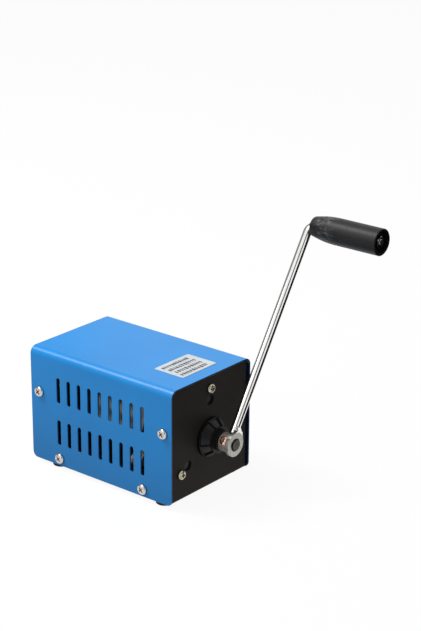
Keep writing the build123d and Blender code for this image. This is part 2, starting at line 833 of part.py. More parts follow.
def make_grip():
    """A turned grip in millimetres along its own axis, which starts at the rod's middle."""
    swell_end = grip_start + grip_swell
    mouth_end = grip_start + grip_mouth_depth
    floor = grip_end - grip_recess_depth
    bore = arm_rod / 2 + running_gap
    along, grown = grip_swell_middle
    swell = Spline(
        (grip_start + grip_edge * 2, grip_small),
        (grip_start + grip_swell * along, grip_small + (grip_large - grip_small) * grown),
        (swell_end, grip_large),
        tangents=((1, grip_swell_slope), (1, 0)),
    )
    nose = RadiusArc(
        (grip_start, grip_small - grip_edge * 2), (grip_start + grip_edge * 2, grip_small), grip_edge * 2
    )
    rest = Polyline(
        (swell_end, grip_large),
        (grip_end - grip_rim, grip_large),
        (grip_end, grip_large - grip_rim),
        (grip_end, grip_recess),
        (floor, grip_recess),
        (floor, bore),
        (mouth_end, bore),
        (grip_start, grip_mouth),
        (grip_start, grip_small - grip_edge * 2),
    )
    outline = make_face([swell, nose, rest])
    body = revolve(Plane.XZ * outline, Axis.X, 360)
    return with_crank * Pos(rod_x_middle, 0, arm_length) * body


def make_grip_washer():
    start = rod_x_middle + grip_end - grip_recess_depth + side_play / 2
    end = start + grip_washer_thickness
    return with_crank * tube_x(grip_washer_radius, stud / 2 + seat_gap, start, end, 0, arm_length)


def make_grip_nut():
    start = rod_x_middle + grip_end - grip_recess_depth + side_play / 2 + grip_washer_thickness
    end = start + grip_nut_height
    nut = hex_x(grip_nut_flats, start, end, 0, arm_length)
    nut &= turned_nut_envelope(start, end, arm_length)
    return with_crank * (nut - bar_x(stud / 2 + seat_gap, start - past, end + past, 0, arm_length))


def turned_nut_envelope(start, end, z):
    """A chamfered bar that rounds the nut's corners."""
    bar = bar_x(grip_nut_flats / 2 / cos(radians(30)), start, end, 0, z)
    return chamfer(bar.edges().group_by(Axis.X)[-1], grip_nut_chamfer)


# ---- electric machine ----
def make_motor_can():
    body = tube_x(can_radius, can_radius - can_wall, can_end, motor_front - can_front_wall)
    body += bar_x(can_radius, motor_front - can_front_wall, motor_front)
    body -= bar_x(bearing_radius + seat_gap, can_end - past, motor_front + past)
    for angle in (0, 180):
        y, z = around(motor_screw_circle, angle)
        tapped = motor_screw_shank / 2 + seat_gap
        body -= bar_x(tapped, motor_front - can_front_wall - past, motor_front + past, y, z)
    return to_axis * body


def make_motor_screws():
    blank = screw(motor_screw_head, motor_screw_head_height, motor_screw_shank, motor_screw_length)
    seat = housing_end - motor_screw_head_height
    spots = [around(motor_screw_circle, angle) for angle in (0, 180)]
    return [facing_x(blank, seat, y, axis_z + z, 1) for y, z in spots]


def core_middle():
    return (motor_front - can_front_wall + can_end) / 2 + core_shift


def make_motor_magnets():
    outer = can_radius - can_wall - seat_gap
    low = core_middle() - core_length / 2
    ring = tube_x(outer, outer - magnet_thickness, low, low + core_length)
    reach = 2 * can_radius
    half_gap = radians((180 - magnet_span) / 2)
    wedge = make_face(Polyline(
        (0, 0),
        (reach * cos(half_gap), reach * sin(half_gap)),
        (reach * cos(half_gap), reach),
        (-reach * cos(half_gap), reach),
        (-reach * cos(half_gap), reach * sin(half_gap)),
        close=True,
    ))
    upper = ring & (Pos(-case_length, 0, 0) * extrude(Plane.YZ * wedge, 2 * case_length))
    return [to_axis * upper, to_axis * Rot(180, 0, 0) * upper]


def core_radius():
    return can_radius - can_wall - seat_gap - magnet_thickness - air_gap


def rotor_slots(x_from, x_to, width, outer):
    """Radial blocks that fill or cut the rotor's slots."""
    blocks = []
    for step in range(core_slots):
        slot = block(x_from, x_to, -width / 2, width / 2, core_hub_radius, outer)
        blocks.append(Rot(360 * step / core_slots, 0, 0) * slot)
    return blocks


def make_rotor_core():
    ends = (core_middle() - core_length / 2, core_middle() + core_length / 2)
    core = tube_x(core_radius(), rotor_shaft / 2 + press_gap, *ends)
    for cut in rotor_slots(ends[0] - past, ends[1] + past, core_slot, core_radius() + past):
        core -= cut
    return to_axis * core


def make_rotor_windings():
    """Copper in the slots, joined by a bulge at each end of the core."""
    low = core_middle() - core_length / 2
    high = core_middle() + core_length / 2
    inner = core_hub_radius + winding_inner_gap
    outer = core_radius() - winding_sink
    gap = winding_gap
    copper = tube_x(outer, inner, low - gap - winding_bulge, low - gap)
    copper += tube_x(outer, inner, high + gap, high + gap + winding_bulge)
    for bar in rotor_slots(low - past, high + past, core_slot - 2 * gap, outer):
        copper += bar & tube_x(outer, inner, low - past, high + past)
    return to_axis * copper


def make_rotor_shaft():
    return to_axis * bar_x(rotor_shaft / 2, machine_end - rotor_shaft_tail, gear_front)


def make_commutator():
    end = can_end + commutator_inset
    body = tube_x(commutator_radius, rotor_shaft / 2 + press_gap, end, end + commutator_length)
    low = commutator_radius - commutator_groove_depth
    half = commutator_groove / 2
    groove = block(end - past, end + commutator_length + past, -half, half, low, commutator_radius + past)
    for step in range(commutator_bars):
        body -= Rot(360 * step / commutator_bars, 0, 0) * groove
    return to_axis * body


def make_motor_bearings():
    bore = rotor_shaft / 2 + running_gap
    front = tube_x(bearing_radius, bore, motor_front - bearing_length, motor_front)
    back = tube_x(bearing_radius, bore, machine_end, can_end)
    return [to_axis * front, to_axis * back]


def make_end_cap():
    body = tube_x(can_radius, bearing_radius + seat_gap, machine_end, can_end)
    spigot = can_radius - can_wall - seat_gap
    body += tube_x(spigot, spigot - end_cap_spigot_wall, can_end, can_end + end_cap_spigot)
    for hand in (-1, 1):
        slot = terminal_width / 2 + seat_gap
        y = hand * terminal_y
        thin = terminal_thickness / 2 + seat_gap
        body -= block(machine_end - past, can_end + past, y - thin, y + thin, -slot, slot)
    return to_axis * body


def make_brushes():
    half = brush_width / 2
    near = commutator_radius + brush_gap
    carbon = block(brush_x() - half, brush_x() + half, near, near + brush_length, -half, half)
    return [to_axis * Rot(turn, 0, 0) * carbon for turn in (0, 180)]


def brush_x():
    return can_end + commutator_inset + commutator_length / 2


def make_terminals():
    """Brass tabs from the brushes out through the end cap."""
    thin = terminal_thickness / 2
    half = terminal_width / 2
    brush_end = commutator_radius + brush_gap + brush_length
    tab = block(machine_end - terminal_reach, brush_x(), terminal_y - thin, terminal_y + thin, -half, half)
    tab += block(brush_x() - past, brush_x(), brush_end, terminal_y, -brush_width / 3, brush_width / 3)
    return [to_axis * Rot(turn, 0, 0) * tab for turn in (0, 180)]


# ---- charging panel ----
def make_board():
    board = block(board_back, board_front, -board_width / 2, board_width / 2,
                  board_z - board_height / 2, board_z + board_height / 2)
    for y, z in board_holes:
        board -= bar_x(board_screw_shank / 2 + screw_gap, board_back - past, board_front + past, y, z)
    return board


def make_standoffs():
    bore = board_screw_shank / 2 + seat_gap
    return [tube_x(standoff_radius, bore, rear_inner, board_back, y, z) for y, z in board_holes]


def make_board_screws():
    blank = screw(board_screw_head, board_screw_head_height, board_screw_shank, board_screw_length)
    return [facing_x(blank, board_front, y, z, 1) for y, z in board_holes]


def make_panel_back_screws():
    blank = screw(board_screw_head, board_screw_head_height, board_screw_shank, board_screw_length)
    return [facing_x(blank, rear_face, y, z, -1) for y, z in board_holes]


def make_usb_ports():
    """Two sockets in one shell, one above the other."""
    mouth = rear_face - usb_reach
    half_y = usb_width / 2
    half_z = usb_height / 2
    shell = block(mouth, board_back, usb_y - half_y, usb_y + half_y, usb_z - half_z, usb_z + half_z)
    for level in (-1, 1):
        middle = usb_z + level * (half_z - usb_wall - usb_mouth_height / 2)
        inner_y = half_y - usb_wall
        inner_z = usb_mouth_height / 2
        deep = board_back - usb_back_wall
        sides = (usb_y - inner_y, usb_y + inner_y)
        shell -= block(mouth - past, deep, *sides, middle - inner_z, middle + inner_z)
    return shell


def make_usb_tongues():
    tongues = []
    for level in (-1, 1):
        middle = usb_z + level * (usb_height / 2 - usb_wall - usb_mouth_height / 2)
        top = middle + usb_mouth_height / 2 - usb_tongue_gap
        inner_y = usb_width / 2 - usb_wall - usb_tongue_side_gap
        tip = rear_face + usb_tongue_inset
        root = board_back - usb_back_wall
        tongues.append(block(tip, root, usb_y - inner_y, usb_y + inner_y, top - usb_tongue, top))
    return tongues


def make_meter_bezel():
    half_y = meter_width / 2
    half_z = meter_height / 2
    front = rear_face - meter_bezel
    frame = block(front, rear_face, -half_y, half_y, meter_z - half_z, meter_z + half_z)
    frame = fillet(frame.edges().filter_by(Axis.X), meter_corner)
    inner_y = half_y - meter_rim
    inner_z = half_z - meter_rim
    deep = rear_face + meter_body_depth
    frame += block(rear_face, deep, -inner_y, inner_y, meter_z - inner_z, meter_z + inner_z)
    view_y = inner_y - meter_frame
    view_z = inner_z - meter_frame
    deep = front + meter_window_depth
    frame -= block(front - past, deep, -view_y, view_y, meter_z - view_z, meter_z + view_z)
    return frame


def make_meter_window():
    front = rear_face - meter_bezel + meter_window_inset
    view_y = meter_width / 2 - meter_rim - meter_frame - seat_gap
    view_z = meter_height / 2 - meter_rim - meter_frame - seat_gap
    deep = rear_face - meter_bezel + meter_window_depth
    return block(front, deep, -view_y, view_y, meter_z - view_z, meter_z + view_z)


def make_voltage_pot():
    body = bar_x(pot_radius, rear_inner, rear_inner + pot_depth, pot_y, pot_z)
    outer = rear_face - pot_thread_length + chassis_sheet
    body += bar_x(pot_thread / 2, outer, rear_inner, pot_y, pot_z)
    bore = pot_shaft / 2 + running_gap
    return body - bar_x(bore, outer - past, rear_inner + pot_depth / 2, pot_y, pot_z)


def make_pot_nut():
    outer = rear_face - pot_nut_height
    nut = hex_x(pot_nut_flats, outer, rear_face, pot_y, pot_z)
    return nut - bar_x(pot_thread / 2 + seat_gap, outer - past, rear_face + past, pot_y, pot_z)


def knob_ends():
    near = rear_face - pot_nut_height - knob_gap
    return near - knob_height, near


def make_pot_shaft():
    far = knob_ends()[0] + knob_cap
    return bar_x(pot_shaft / 2, far, rear_inner + pot_depth / 2 - side_play, pot_y, pot_z)


def make_voltage_knob():
    far, near = knob_ends()
    knob = bar_x(knob_radius - knob_rib, far, near, pot_y, pot_z)
    knob = fillet(knob.edges().group_by(Axis.X)[0], knob_round)
    for step in range(knob_ribs):
        y, z = around(knob_radius - knob_rib, 360 * step / knob_ribs)
        knob += bar_x(knob_rib, far + knob_rib_start, near, pot_y + y, pot_z + z)
    half = knob_mark_width / 2
    mark = (pot_y - half, pot_y + half, pot_z + knob_mark_start, pot_z + knob_radius)
    knob -= block(far - past, far + knob_mark_depth, *mark)
    skirt = pot_nut_flats / 2 / cos(radians(30)) + knob_gap
    thread_end = rear_face - pot_thread_length + chassis_sheet - knob_gap
    knob -= bar_x(min(skirt, knob_radius - 2 * knob_rib), thread_end, near + past, pot_y, pot_z)
    return knob - bar_x(pot_shaft / 2 + press_gap, far + knob_cap, near + past, pot_y, pot_z)


def make_output_socket(side):
    """An insulated four-millimetre socket with its collar outside the panel."""
    y = side * socket_y
    outer = rear_face - socket_flange_height
    body = bar_x(socket_flange, outer, rear_face, y, socket_z)
    body = fillet(body.edges().group_by(Axis.X)[0], socket_round)
    body += bar_x(socket_thread / 2, rear_face, rear_face + socket_thread_length, y, socket_z)
    sleeve = socket_bore / 2 + socket_sleeve_wall + press_gap
    return body - bar_x(sleeve, outer - past, rear_face + socket_thread_length + past, y, socket_z)


def make_socket_sleeve(side):
    y = side * socket_y
    start = rear_face - socket_flange_height + socket_sleeve_inset
    outer = socket_bore / 2 + socket_sleeve_wall
    sleeve = bar_x(outer, start, rear_face + socket_thread_length + socket_tail, y, socket_z)
    return sleeve - bar_x(socket_bore / 2, start - past, start + socket_depth, y, socket_z)


def make_socket_nuts():
    end = rear_inner + socket_nut_height
    nuts = []
    for side in (-1, 1):
        y = side * socket_y
        nut = hex_x(socket_nut_flats, rear_inner, end, y, socket_z)
        nuts.append(nut - bar_x(socket_thread / 2 + seat_gap, rear_inner - past, end + past, y, socket_z))
    return nuts


def make_capacitors():
    cans = []
    for y, up in capacitor_spots:
        can = bar_x(capacitor_radius, board_front, board_front + capacitor_height, y, board_z + up)
        cans.append(fillet(can.edges().group_by(Axis.X)[-1], capacitor_round))
    return cans


def make_choke():
    y, up = choke_spot
    ring = tube_x(choke_outer, choke_inner, board_front, board_front + choke_height, y, board_z + up)
    return fillet(ring.edges().group_by(Axis.X)[-1], choke_round)


def make_heat_sink():
    low = board_z + sink_up - sink_height / 2
    high = low + sink_height
    start = board_front + chip_thickness
    left = sink_y - sink_width / 2
    sink = block(start, start + sink_base, left, left + sink_width, low, high)
    pitch = (sink_width - sink_fin) / (sink_fins - 1)
    for step in range(sink_fins):
        edge = left + step * pitch
        sink += block(start, start + sink_depth, edge, edge + sink_fin, low, high)
    return sink


def make_regulator_chip():
    half = chip_width / 2
    middle = board_z + sink_up
    front = board_front + chip_thickness
    return block(board_front, front, sink_y - half, sink_y + half, middle - half, middle + half)


def make_lead(points):
    """An insulated wire along straight runs with tangent arcs."""
    radii = []
    for before, corner, after in zip(points, points[1:], points[2:]):
        run_in = Vector(*corner) - Vector(*before)
        run_out = Vector(*after) - Vector(*corner)
        half_turn = radians(run_in.get_angle(run_out)) / 2
        radii.append(lead_bend_share * min(run_in.length, run_out.length) / tan(half_turn))
    path = FilletPolyline(*points, radius=radii)
    start = Plane(points[0], z_dir=Vector(*points[1]) - Vector(*points[0]))
    wire = sweep(start * Circle(lead_diameter / 2), path)
    print("lead radii", [round(r, 1) for r in radii], "volume over section by length",
          round(wire.volume / (pi * (lead_diameter / 2) ** 2 * path.length), 4))
    return wire


def make_machine_lead(hand):
    """From a machine tab straight out, down and aside, and straight into the board."""
    tab_end = machine_end - terminal_reach
    y = hand * terminal_y
    end_y = hand * (terminal_y + lead_spread)
    end_z = axis_z - lead_drop
    return make_lead([
        (tab_end, y, axis_z),
        (tab_end - lead_straight, y, axis_z),
        (board_front + lead_straight, end_y, end_z),
        (board_front, end_y, end_z),
    ])


# ---- label ----
def make_label():
    end = case_end - label_end_gap
    half = label_width / 2
    plate = block(end - label_length, end, -half, half, cover_top, cover_top + label_thickness)
    return fillet(plate.edges().filter_by(Axis.Z), label_corner)


# ---- write every node ----
save("cover", make_cover())
charging_panel, chassis_base, crank_panel = make_chassis()
save("charging_panel", charging_panel)
save("chassis_base", chassis_base)
save("crank_panel", crank_panel)
save("side_screws", *make_side_screws())
save("feet", *make_feet())
save("foot_screws", *make_foot_screws())
save("info_label", make_label())

save("gearbox_housing", make_gearbox_housing())
save("shaft_bush", make_shaft_bush())
save("panel_screws", *make_panel_screws())
save("motor_plate", make_motor_plate())
save("gearbox_screws", *make_gearbox_screws())
save("ring_gear", make_ring_gear())
for number, planet_angle in enumerate(planet_angles, start=1):
    save(f"planet_gear_{number}", make_planet(planet_angle))
save("planet_pins", *make_planet_pins())
save("planet_carrier", make_planet_carrier())
save("carrier_back_plate", make_carrier_back())
save("sun_gear", make_sun_gear())

save("crank_shaft", make_crank_shaft())
save("crank_hub", make_crank_hub())
save("clamp_screw", make_clamp_screw())
save("crank_arm", make_crank_arm())
save("grip", make_grip())
save("grip_washer", make_grip_washer())
save("grip_nut", make_grip_nut())

save("motor_can", make_motor_can())
save("motor_end_cap", make_end_cap())
save("motor_screws", *make_motor_screws())
save("motor_magnets", *make_motor_magnets())
save("motor_bearings", *make_motor_bearings())
save("motor_brushes", *make_brushes())
save("motor_terminals", *make_terminals())
save("rotor_shaft", make_rotor_shaft())
save("rotor_core", make_rotor_core())
save("rotor_windings", make_rotor_windings())
save("commutator", make_commutator())

save("regulator_board", make_board())
save("board_standoffs", *make_standoffs())
save("board_screws", *make_board_screws(), *make_panel_back_screws())
save("board_capacitors", *make_capacitors())
save("board_choke", make_choke())
save("regulator_chip", make_regulator_chip())
save("heat_sink", make_heat_sink())
save("usb_ports", make_usb_ports())
save("usb_tongues", *make_usb_tongues())
save("meter_bezel", make_meter_bezel())
save("meter_window", make_meter_window())
save("voltage_pot", make_voltage_pot())
save("pot_nut", make_pot_nut())
save("pot_shaft", make_pot_shaft())
save("voltage_knob", make_voltage_knob())
save("output_socket_red", make_output_socket(-1))
save("output_socket_black", make_output_socket(1))
save("socket_sleeves", make_socket_sleeve(-1), make_socket_sleeve(1))
save("socket_nuts", *make_socket_nuts())
save("machine_lead_red", make_machine_lead(-1))
save("machine_lead_black", make_machine_lead(1))
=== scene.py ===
import json
import math
import random

import bmesh
import bpy
from mathutils import Matrix, Vector


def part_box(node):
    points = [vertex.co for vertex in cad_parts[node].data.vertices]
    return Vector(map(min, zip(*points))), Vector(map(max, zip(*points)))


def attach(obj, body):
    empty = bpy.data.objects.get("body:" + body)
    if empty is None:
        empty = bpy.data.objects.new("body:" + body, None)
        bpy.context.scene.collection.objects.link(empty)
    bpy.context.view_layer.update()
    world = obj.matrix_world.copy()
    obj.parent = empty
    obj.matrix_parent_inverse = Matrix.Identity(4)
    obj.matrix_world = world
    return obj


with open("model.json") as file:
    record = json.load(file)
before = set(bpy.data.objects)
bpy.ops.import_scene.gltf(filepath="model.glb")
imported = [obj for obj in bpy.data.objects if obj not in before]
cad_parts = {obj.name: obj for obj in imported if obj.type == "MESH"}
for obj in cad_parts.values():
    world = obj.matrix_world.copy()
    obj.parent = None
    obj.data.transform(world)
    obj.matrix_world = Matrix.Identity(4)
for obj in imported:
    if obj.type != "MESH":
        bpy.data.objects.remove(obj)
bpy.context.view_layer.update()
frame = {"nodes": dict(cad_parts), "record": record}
nodes = frame["nodes"]
mm = 0.001
print("frame loaded:", len(nodes), "nodes")


cameraSet = {
    "imageWidth": 421,
    "imageHeight": 631,
    "focalPixels": 1820.67,
    "centreX": 204.74,          # principal point, in pixels of the photograph
    "centreY": 353.92,
    "azimuth": 39.367,
    "elevation": 21.518,
    "roll": 0.376,
    "aim": (0.0, 0.0, 43.0),    # a point in the case, in millimetres
    "aimRight": 43.391,         # how far the camera stands aside of it
    "aimUp": 35.612,
    "distance": 1222.1,
    "sensor": 36.0,
}


def makeCamera(s):
    az, el, roll = (math.radians(s[k]) for k in ("azimuth", "elevation", "roll"))
    back = Vector((math.sin(az) * math.cos(el), -math.cos(az) * math.cos(el), math.sin(el)))
    level = Vector((math.cos(az), math.sin(az), 0.0))
    upright = back.cross(level)
    right = math.cos(roll) * level + math.sin(roll) * upright
    up = math.cos(roll) * upright - math.sin(roll) * level
    spot = Vector(s["aim"]) + s["aimRight"] * right + s["aimUp"] * up + s["distance"] * back
    data = bpy.data.cameras.new("studioCamera")
    longSide = max(s["imageWidth"], s["imageHeight"])
    data.sensor_width = s["sensor"]
    data.lens = s["focalPixels"] * s["sensor"] / longSide
    data.shift_x = (s["imageWidth"] / 2 - s["centreX"]) / longSide
    data.shift_y = (s["centreY"] - s["imageHeight"] / 2) / longSide
    data.clip_start = 0.05
    data.clip_end = 20.0
    camera = bpy.data.objects.new("studioCamera", data)
    turn = Matrix((right, up, back)).transposed().to_4x4()
    camera.matrix_world = Matrix.Translation(spot * mm) @ turn
    bpy.context.scene.collection.objects.link(camera)
    bpy.context.scene.camera = camera


makeCamera(cameraSet)
print("camera placed")


def addNode(tree, kind, inputs=None, **settings):
    node = tree.nodes.new(kind)
    for name, value in settings.items():
        setattr(node, name, value)
    for socket, value in (inputs or {}).items():
        if isinstance(value, bpy.types.NodeSocket):
            tree.links.new(value, node.inputs[socket])
        else:
            node.inputs[socket].default_value = value
    return node


def startFinish(name, **sockets):
    finish = bpy.data.materials.new(name)
    finish.use_nodes = True
    tree = finish.node_tree
    shader = tree.nodes["Principled BSDF"]
    for socket, value in sockets.items():
        shader.inputs[socketNames[socket]].default_value = value
    place = addNode(tree, "ShaderNodeTexCoord").outputs["Object"]
    return finish, tree, shader, place


socketNames = {
    "metal": "Metallic",
    "rough": "Roughness",
    "specular": "Specular IOR Level",
    "coat": "Coat Weight",
    "coatRough": "Coat Roughness",
    "colour": "Base Color",
}


# noise whose features are about that many millimetres across
def grain(tree, place, size, detail=3.0, rough=0.55, stretch=(1, 1, 1), turn=(0, 0, 0)):
    if stretch != (1, 1, 1) or turn != (0, 0, 0):
        place = addNode(tree, "ShaderNodeMapping", {"Vector": place, "Rotation": turn, "Scale": stretch})
        place = place.outputs["Vector"]
    settings = {"Vector": place, "Scale": 1 / (size * mm), "Detail": detail, "Roughness": rough}
    return addNode(tree, "ShaderNodeTexNoise", settings).outputs["Fac"]


def ranged(tree, value, low, high, fromLow=0.3, fromHigh=0.7):
    settings = {"Value": value, "From Min": fromLow, "From Max": fromHigh, "To Min": low, "To Max": high}
    return addNode(tree, "ShaderNodeMapRange", settings).outputs["Result"]


def between(tree, factor, first, second):
    node = addNode(tree, "ShaderNodeMix", data_type="RGBA")
    tree.links.new(factor, node.inputs["Factor"])
    for socket, colour in (("A", first), ("B", second)):
        target = [i for i in node.inputs if i.name == socket and i.type == "RGBA"][0]
        if isinstance(colour, bpy.types.NodeSocket):
            tree.links.new(colour, target)
        else:
            target.default_value = (*colour, 1.0)
    return [o for o in node.outputs if o.type == "RGBA"][0]


def combine(tree, operation, first, second):
    node = addNode(tree, "ShaderNodeMath", operation=operation)
    for i, value in enumerate((first, second)):
        if isinstance(value, bpy.types.NodeSocket):
            tree.links.new(value, node.inputs[i])
        else:
            node.inputs[i].default_value = value
    return node.outputs["Value"]


# bump over edges that look slightly broken; depth and edge in millimetres
def raised(tree, shader, height, depth, strength=1.0, edge=0.25):
    node = addNode(tree, "ShaderNodeBump", {"Height": height, "Distance": depth * mm, "Strength": strength})
    if edge:
        soft = addNode(tree, "ShaderNodeBevel", {"Radius": edge * mm}, samples=6)
        tree.links.new(soft.outputs["Normal"], node.inputs["Normal"])
    tree.links.new(node.outputs["Normal"], shader.inputs["Normal"])


def wire(tree, shader, **values):
    for socket, value in values.items():
        tree.links.new(value, shader.inputs[socketNames[socket]])


def vectorMath(tree, operation, first, second=(0, 0, 0)):
    node = addNode(tree, "ShaderNodeVectorMath", {0: first, 1: second}, operation=operation)
    return node.outputs["Value" if operation == "LENGTH" else "Vector"]


# how far a point is from a spot in millimetres, across the axes that keep holds
def distanceTo(tree, place, spot, keep=(1, 1, 1)):
    away = vectorMath(tree, "SUBTRACT", place, tuple(c * mm for c in spot))
    return vectorMath(tree, "LENGTH", vectorMath(tree, "MULTIPLY", away, tuple(k / mm for k in keep)))


def nearest(tree, place, spots, keep):
    reach = distanceTo(tree, place, spots[0], keep)
    for spot in spots[1:]:
        reach = combine(tree, "MINIMUM", reach, distanceTo(tree, place, spot, keep))
    return reach


def coordinate(tree, place, axis):
    split = addNode(tree, "ShaderNodeSeparateXYZ", {"Vector": place}).outputs[axis]
    return combine(tree, "MULTIPLY", split, 1 / mm)


def plain(colour):
    return tuple(min(1.0, max(0.0, c)) for c in colour)


def times(colour, share):
    return plain(tuple(c * share for c in colour))


paintSet = {
    "blue": (0.013, 0.280, 0.745),
    "paintedShadeNavy": (0.004, 0.022, 0.075),   # painted shade: near-black navy on the cut ends and inside
    "cutFrom": 61.9,            # along X, in millimetres
    "insideTo": 39.3,           # across
    "insideTop": 78.9,          # below the fold
    "low": 0.74,                # painted shade: how dark the sides are at the lower edge
    "paintedShadeFrom": 5.0,
    "paintedShadeTo": 62.0,
    "blueFleck": (0.20, 0.50, 0.88),
    "black": (0.0208, 0.0182, 0.0165),
    "blackLint": (0.11, 0.10, 0.09),
}


def bluePaint(name="bluePaint", s=paintSet):
    finish, tree, shader, place = startFinish(name, specular=0.26, coat=0.05, coatRough=0.12)
    cloud = grain(tree, place, 60, 2.0)
    peel = grain(tree, place, 0.9, 2.0)
    speck = grain(tree, place, 0.22, 1.0)
    shade = between(tree, ranged(tree, cloud, 0, 1), times(s["blue"], 0.95), times(s["blue"], 1.05))
    shade = between(tree, ranged(tree, speck, 0.0, 0.08, 0.62, 0.80), shade, s["blueFleck"])
    folded = vectorMath(tree, "ABSOLUTE", place)
    # painted shade: the sides darken towards their lower edge, in the colour rather than the light
    paintedShadeFade = ranged(tree, coordinate(tree, place, "Z"), 1.0, 0.0, s["paintedShadeFrom"], s["paintedShadeTo"])
    low = between(tree, paintedShadeFade, (1, 1, 1), (s["low"],) * 3)
    shade = vectorMath(tree, "MULTIPLY", shade, low)
    # painted shade: the cut ends and the inside faces turn near-black navy
    cut = combine(tree, "GREATER_THAN", coordinate(tree, folded, "X"), s["cutFrom"])
    across = combine(tree, "LESS_THAN", coordinate(tree, folded, "Y"), s["insideTo"])
    under = combine(tree, "LESS_THAN", coordinate(tree, place, "Z"), s["insideTop"])
    inside = combine(tree, "MULTIPLY", across, under)
    shade = between(tree, combine(tree, "MAXIMUM", cut, inside), shade, s["paintedShadeNavy"])
    wire(tree, shader, colour=shade, rough=ranged(tree, peel, 0.30, 0.40))
    raised(tree, shader, peel, 0.02, 0.35, 0.35)
    return finish


def blackPaint(name="blackPaint", s=paintSet):
    finish, tree, shader, place = startFinish(name, specular=0.12)
    cloud = grain(tree, place, 35, 3.0)
    texture = grain(tree, place, 0.35, 2.0)
    lint = grain(tree, place, 0.5, 4.0, 0.7)
    shade = between(tree, ranged(tree, cloud, 0, 1), times(s["black"], 0.85), times(s["black"], 1.2))
    shade = between(tree, ranged(tree, lint, 0.0, 0.14, 0.68, 0.85), shade, s["blackLint"])
    wire(tree, shader, colour=shade, rough=ranged(tree, texture, 0.50, 0.62))
    raised(tree, shader, texture, 0.03, 0.4)
    return finish


# where the heads of the screws in sight are, what has gathered in their recesses, and how deep the painted
# shadow at the base of each head reaches
sideRecess = {"axis": "Y", "spots": ((54.5, 0, 52.5), (37, 0, 8.2)), "keep": (1, 0, 1), "below": 41.75,
              "radius": 2.0, "seat": 40.25, "colour": (0.50, 0.27, 0.17)}
panelRecess = {"axis": "X", "spots": ((0, 0, 73), (0, 29.44, 22)), "keep": (0, 1, 1), "below": 62.8,
               "radius": 1.85, "seat": 61.1, "colour": (0.060, 0.050, 0.018)}


# plated steel with faint stains, dirt in the recesses, and a painted shadow round the base of the heads
def platedMetal(name, bright, dull, rough=(0.18, 0.34), patch=1.4, grime=(0.20, 0.13, 0.08), recess=None):
    finish, tree, shader, place = startFinish(name, metal=1.0)
    stain = grain(tree, place, patch, 4.0)
    fine = grain(tree, place, 0.12, 2.0)
    shade = between(tree, ranged(tree, stain, 0, 1, 0.35, 0.7), bright, dull)
    spot = ranged(tree, grain(tree, place, 0.6, 4.0, 0.7), 0.0, 0.5, 0.62, 0.75)
    shade = between(tree, spot, shade, grime)
    if recess:
        folded = vectorMath(tree, "ABSOLUTE", place)
        depth = coordinate(tree, folded, recess["axis"])
        reach = nearest(tree, folded, recess["spots"], recess["keep"])
        inside = combine(tree, "LESS_THAN", reach, recess["radius"])
        inside = combine(tree, "MULTIPLY", inside, combine(tree, "LESS_THAN", depth, recess["below"]))
        shade = between(tree, combine(tree, "MULTIPLY", inside, 0.85), shade, recess["colour"])
        # painted shadow: a near-black band round the base of each head
        shade = between(tree, combine(tree, "LESS_THAN", depth, recess["seat"]), shade, (0.02, 0.018, 0.016))
    wire(tree, shader, colour=shade, rough=ranged(tree, stain, *rough))
    raised(tree, shader, fine, 0.008, 0.4, 0.15)
    return finish


# metal with fine tool lines round the X axis
def turnedMetal(name, bright, dull, rough=(0.25, 0.42), groove=0.16, depth=0.01, stretch=(1, 0.02, 0.02)):
    finish, tree, shader, place = startFinish(name, metal=1.0)
    line = grain(tree, place, groove, 2.0, 0.5, stretch)
    stain = grain(tree, place, 5, 4.0)
    shade = between(tree, ranged(tree, stain, 0, 1), bright, dull)
    wire(tree, shader, colour=shade, rough=ranged(tree, stain, *rough))
    raised(tree, shader, line, depth, 0.5)
    return finish


shaftSet = {
    "axisHeight": 39.0,
    "steel": (0.150, 0.158, 0.150),
    "rust": (0.085, 0.066, 0.050),
    "ring": 0.45,               # between the tool marks on its end
    "rimFrom": 3.45,
    "rimTo": 3.85,
    "rimPaintedShade": (0.012, 0.011, 0.010),
}


# dull cut end with rings, and a painted shade ring where it sits in the eye
def shaftSteel(name="shaftSteel", s=shaftSet):
    finish, tree, shader, place = startFinish(name, metal=1.0)
    reach = distanceTo(tree, place, (0, 0, s["axisHeight"]), (0, 1, 1))
    ring = combine(tree, "PINGPONG", combine(tree, "MULTIPLY", reach, 1 / s["ring"]), 1.0)
    stain = grain(tree, place, 1.6, 5.0, 0.65)
    shade = between(tree, ranged(tree, stain, 0, 1), s["steel"], s["rust"])
    # painted shade in the gap between the shaft's end and the eye
    rim = ranged(tree, reach, 0, 1, s["rimFrom"], s["rimTo"])
    shade = between(tree, rim, shade, s["rimPaintedShade"])
    wire(tree, shader, colour=shade, rough=ranged(tree, stain, 0.42, 0.6))
    raised(tree, shader, ring, 0.02, 0.35, 0.1)
    return finish


def castMetal(name, bright, dull, size=0.5, rough=(0.42, 0.6)):
    finish, tree, shader, place = startFinish(name, metal=1.0)
    pit = grain(tree, place, size, 4.0, 0.6)
    cloud = grain(tree, place, 9, 3.0)
    shade = between(tree, ranged(tree, cloud, 0, 1), bright, dull)
    wire(tree, shader, colour=shade, rough=ranged(tree, pit, *rough))
    raised(tree, shader, pit, 0.05, 0.5)
    return finish


armSet = {
    "lean": 32.45,
    "chrome": (0.92, 0.915, 0.905),
    "haze": (0.80, 0.79, 0.775),
    "eye": (0.52, 0.505, 0.475),     # the flat eye is bare and matt
    "eyeWorn": (0.36, 0.345, 0.315),
    "eyeFrom": 79.3,                 # along the shaft
    "eyeReach": 8.1,                 # from the shaft's axis
    "holePaintedShade": (0.020, 0.018, 0.016),
    "holePaintedShadeTo": (4.15, 4.7),
}
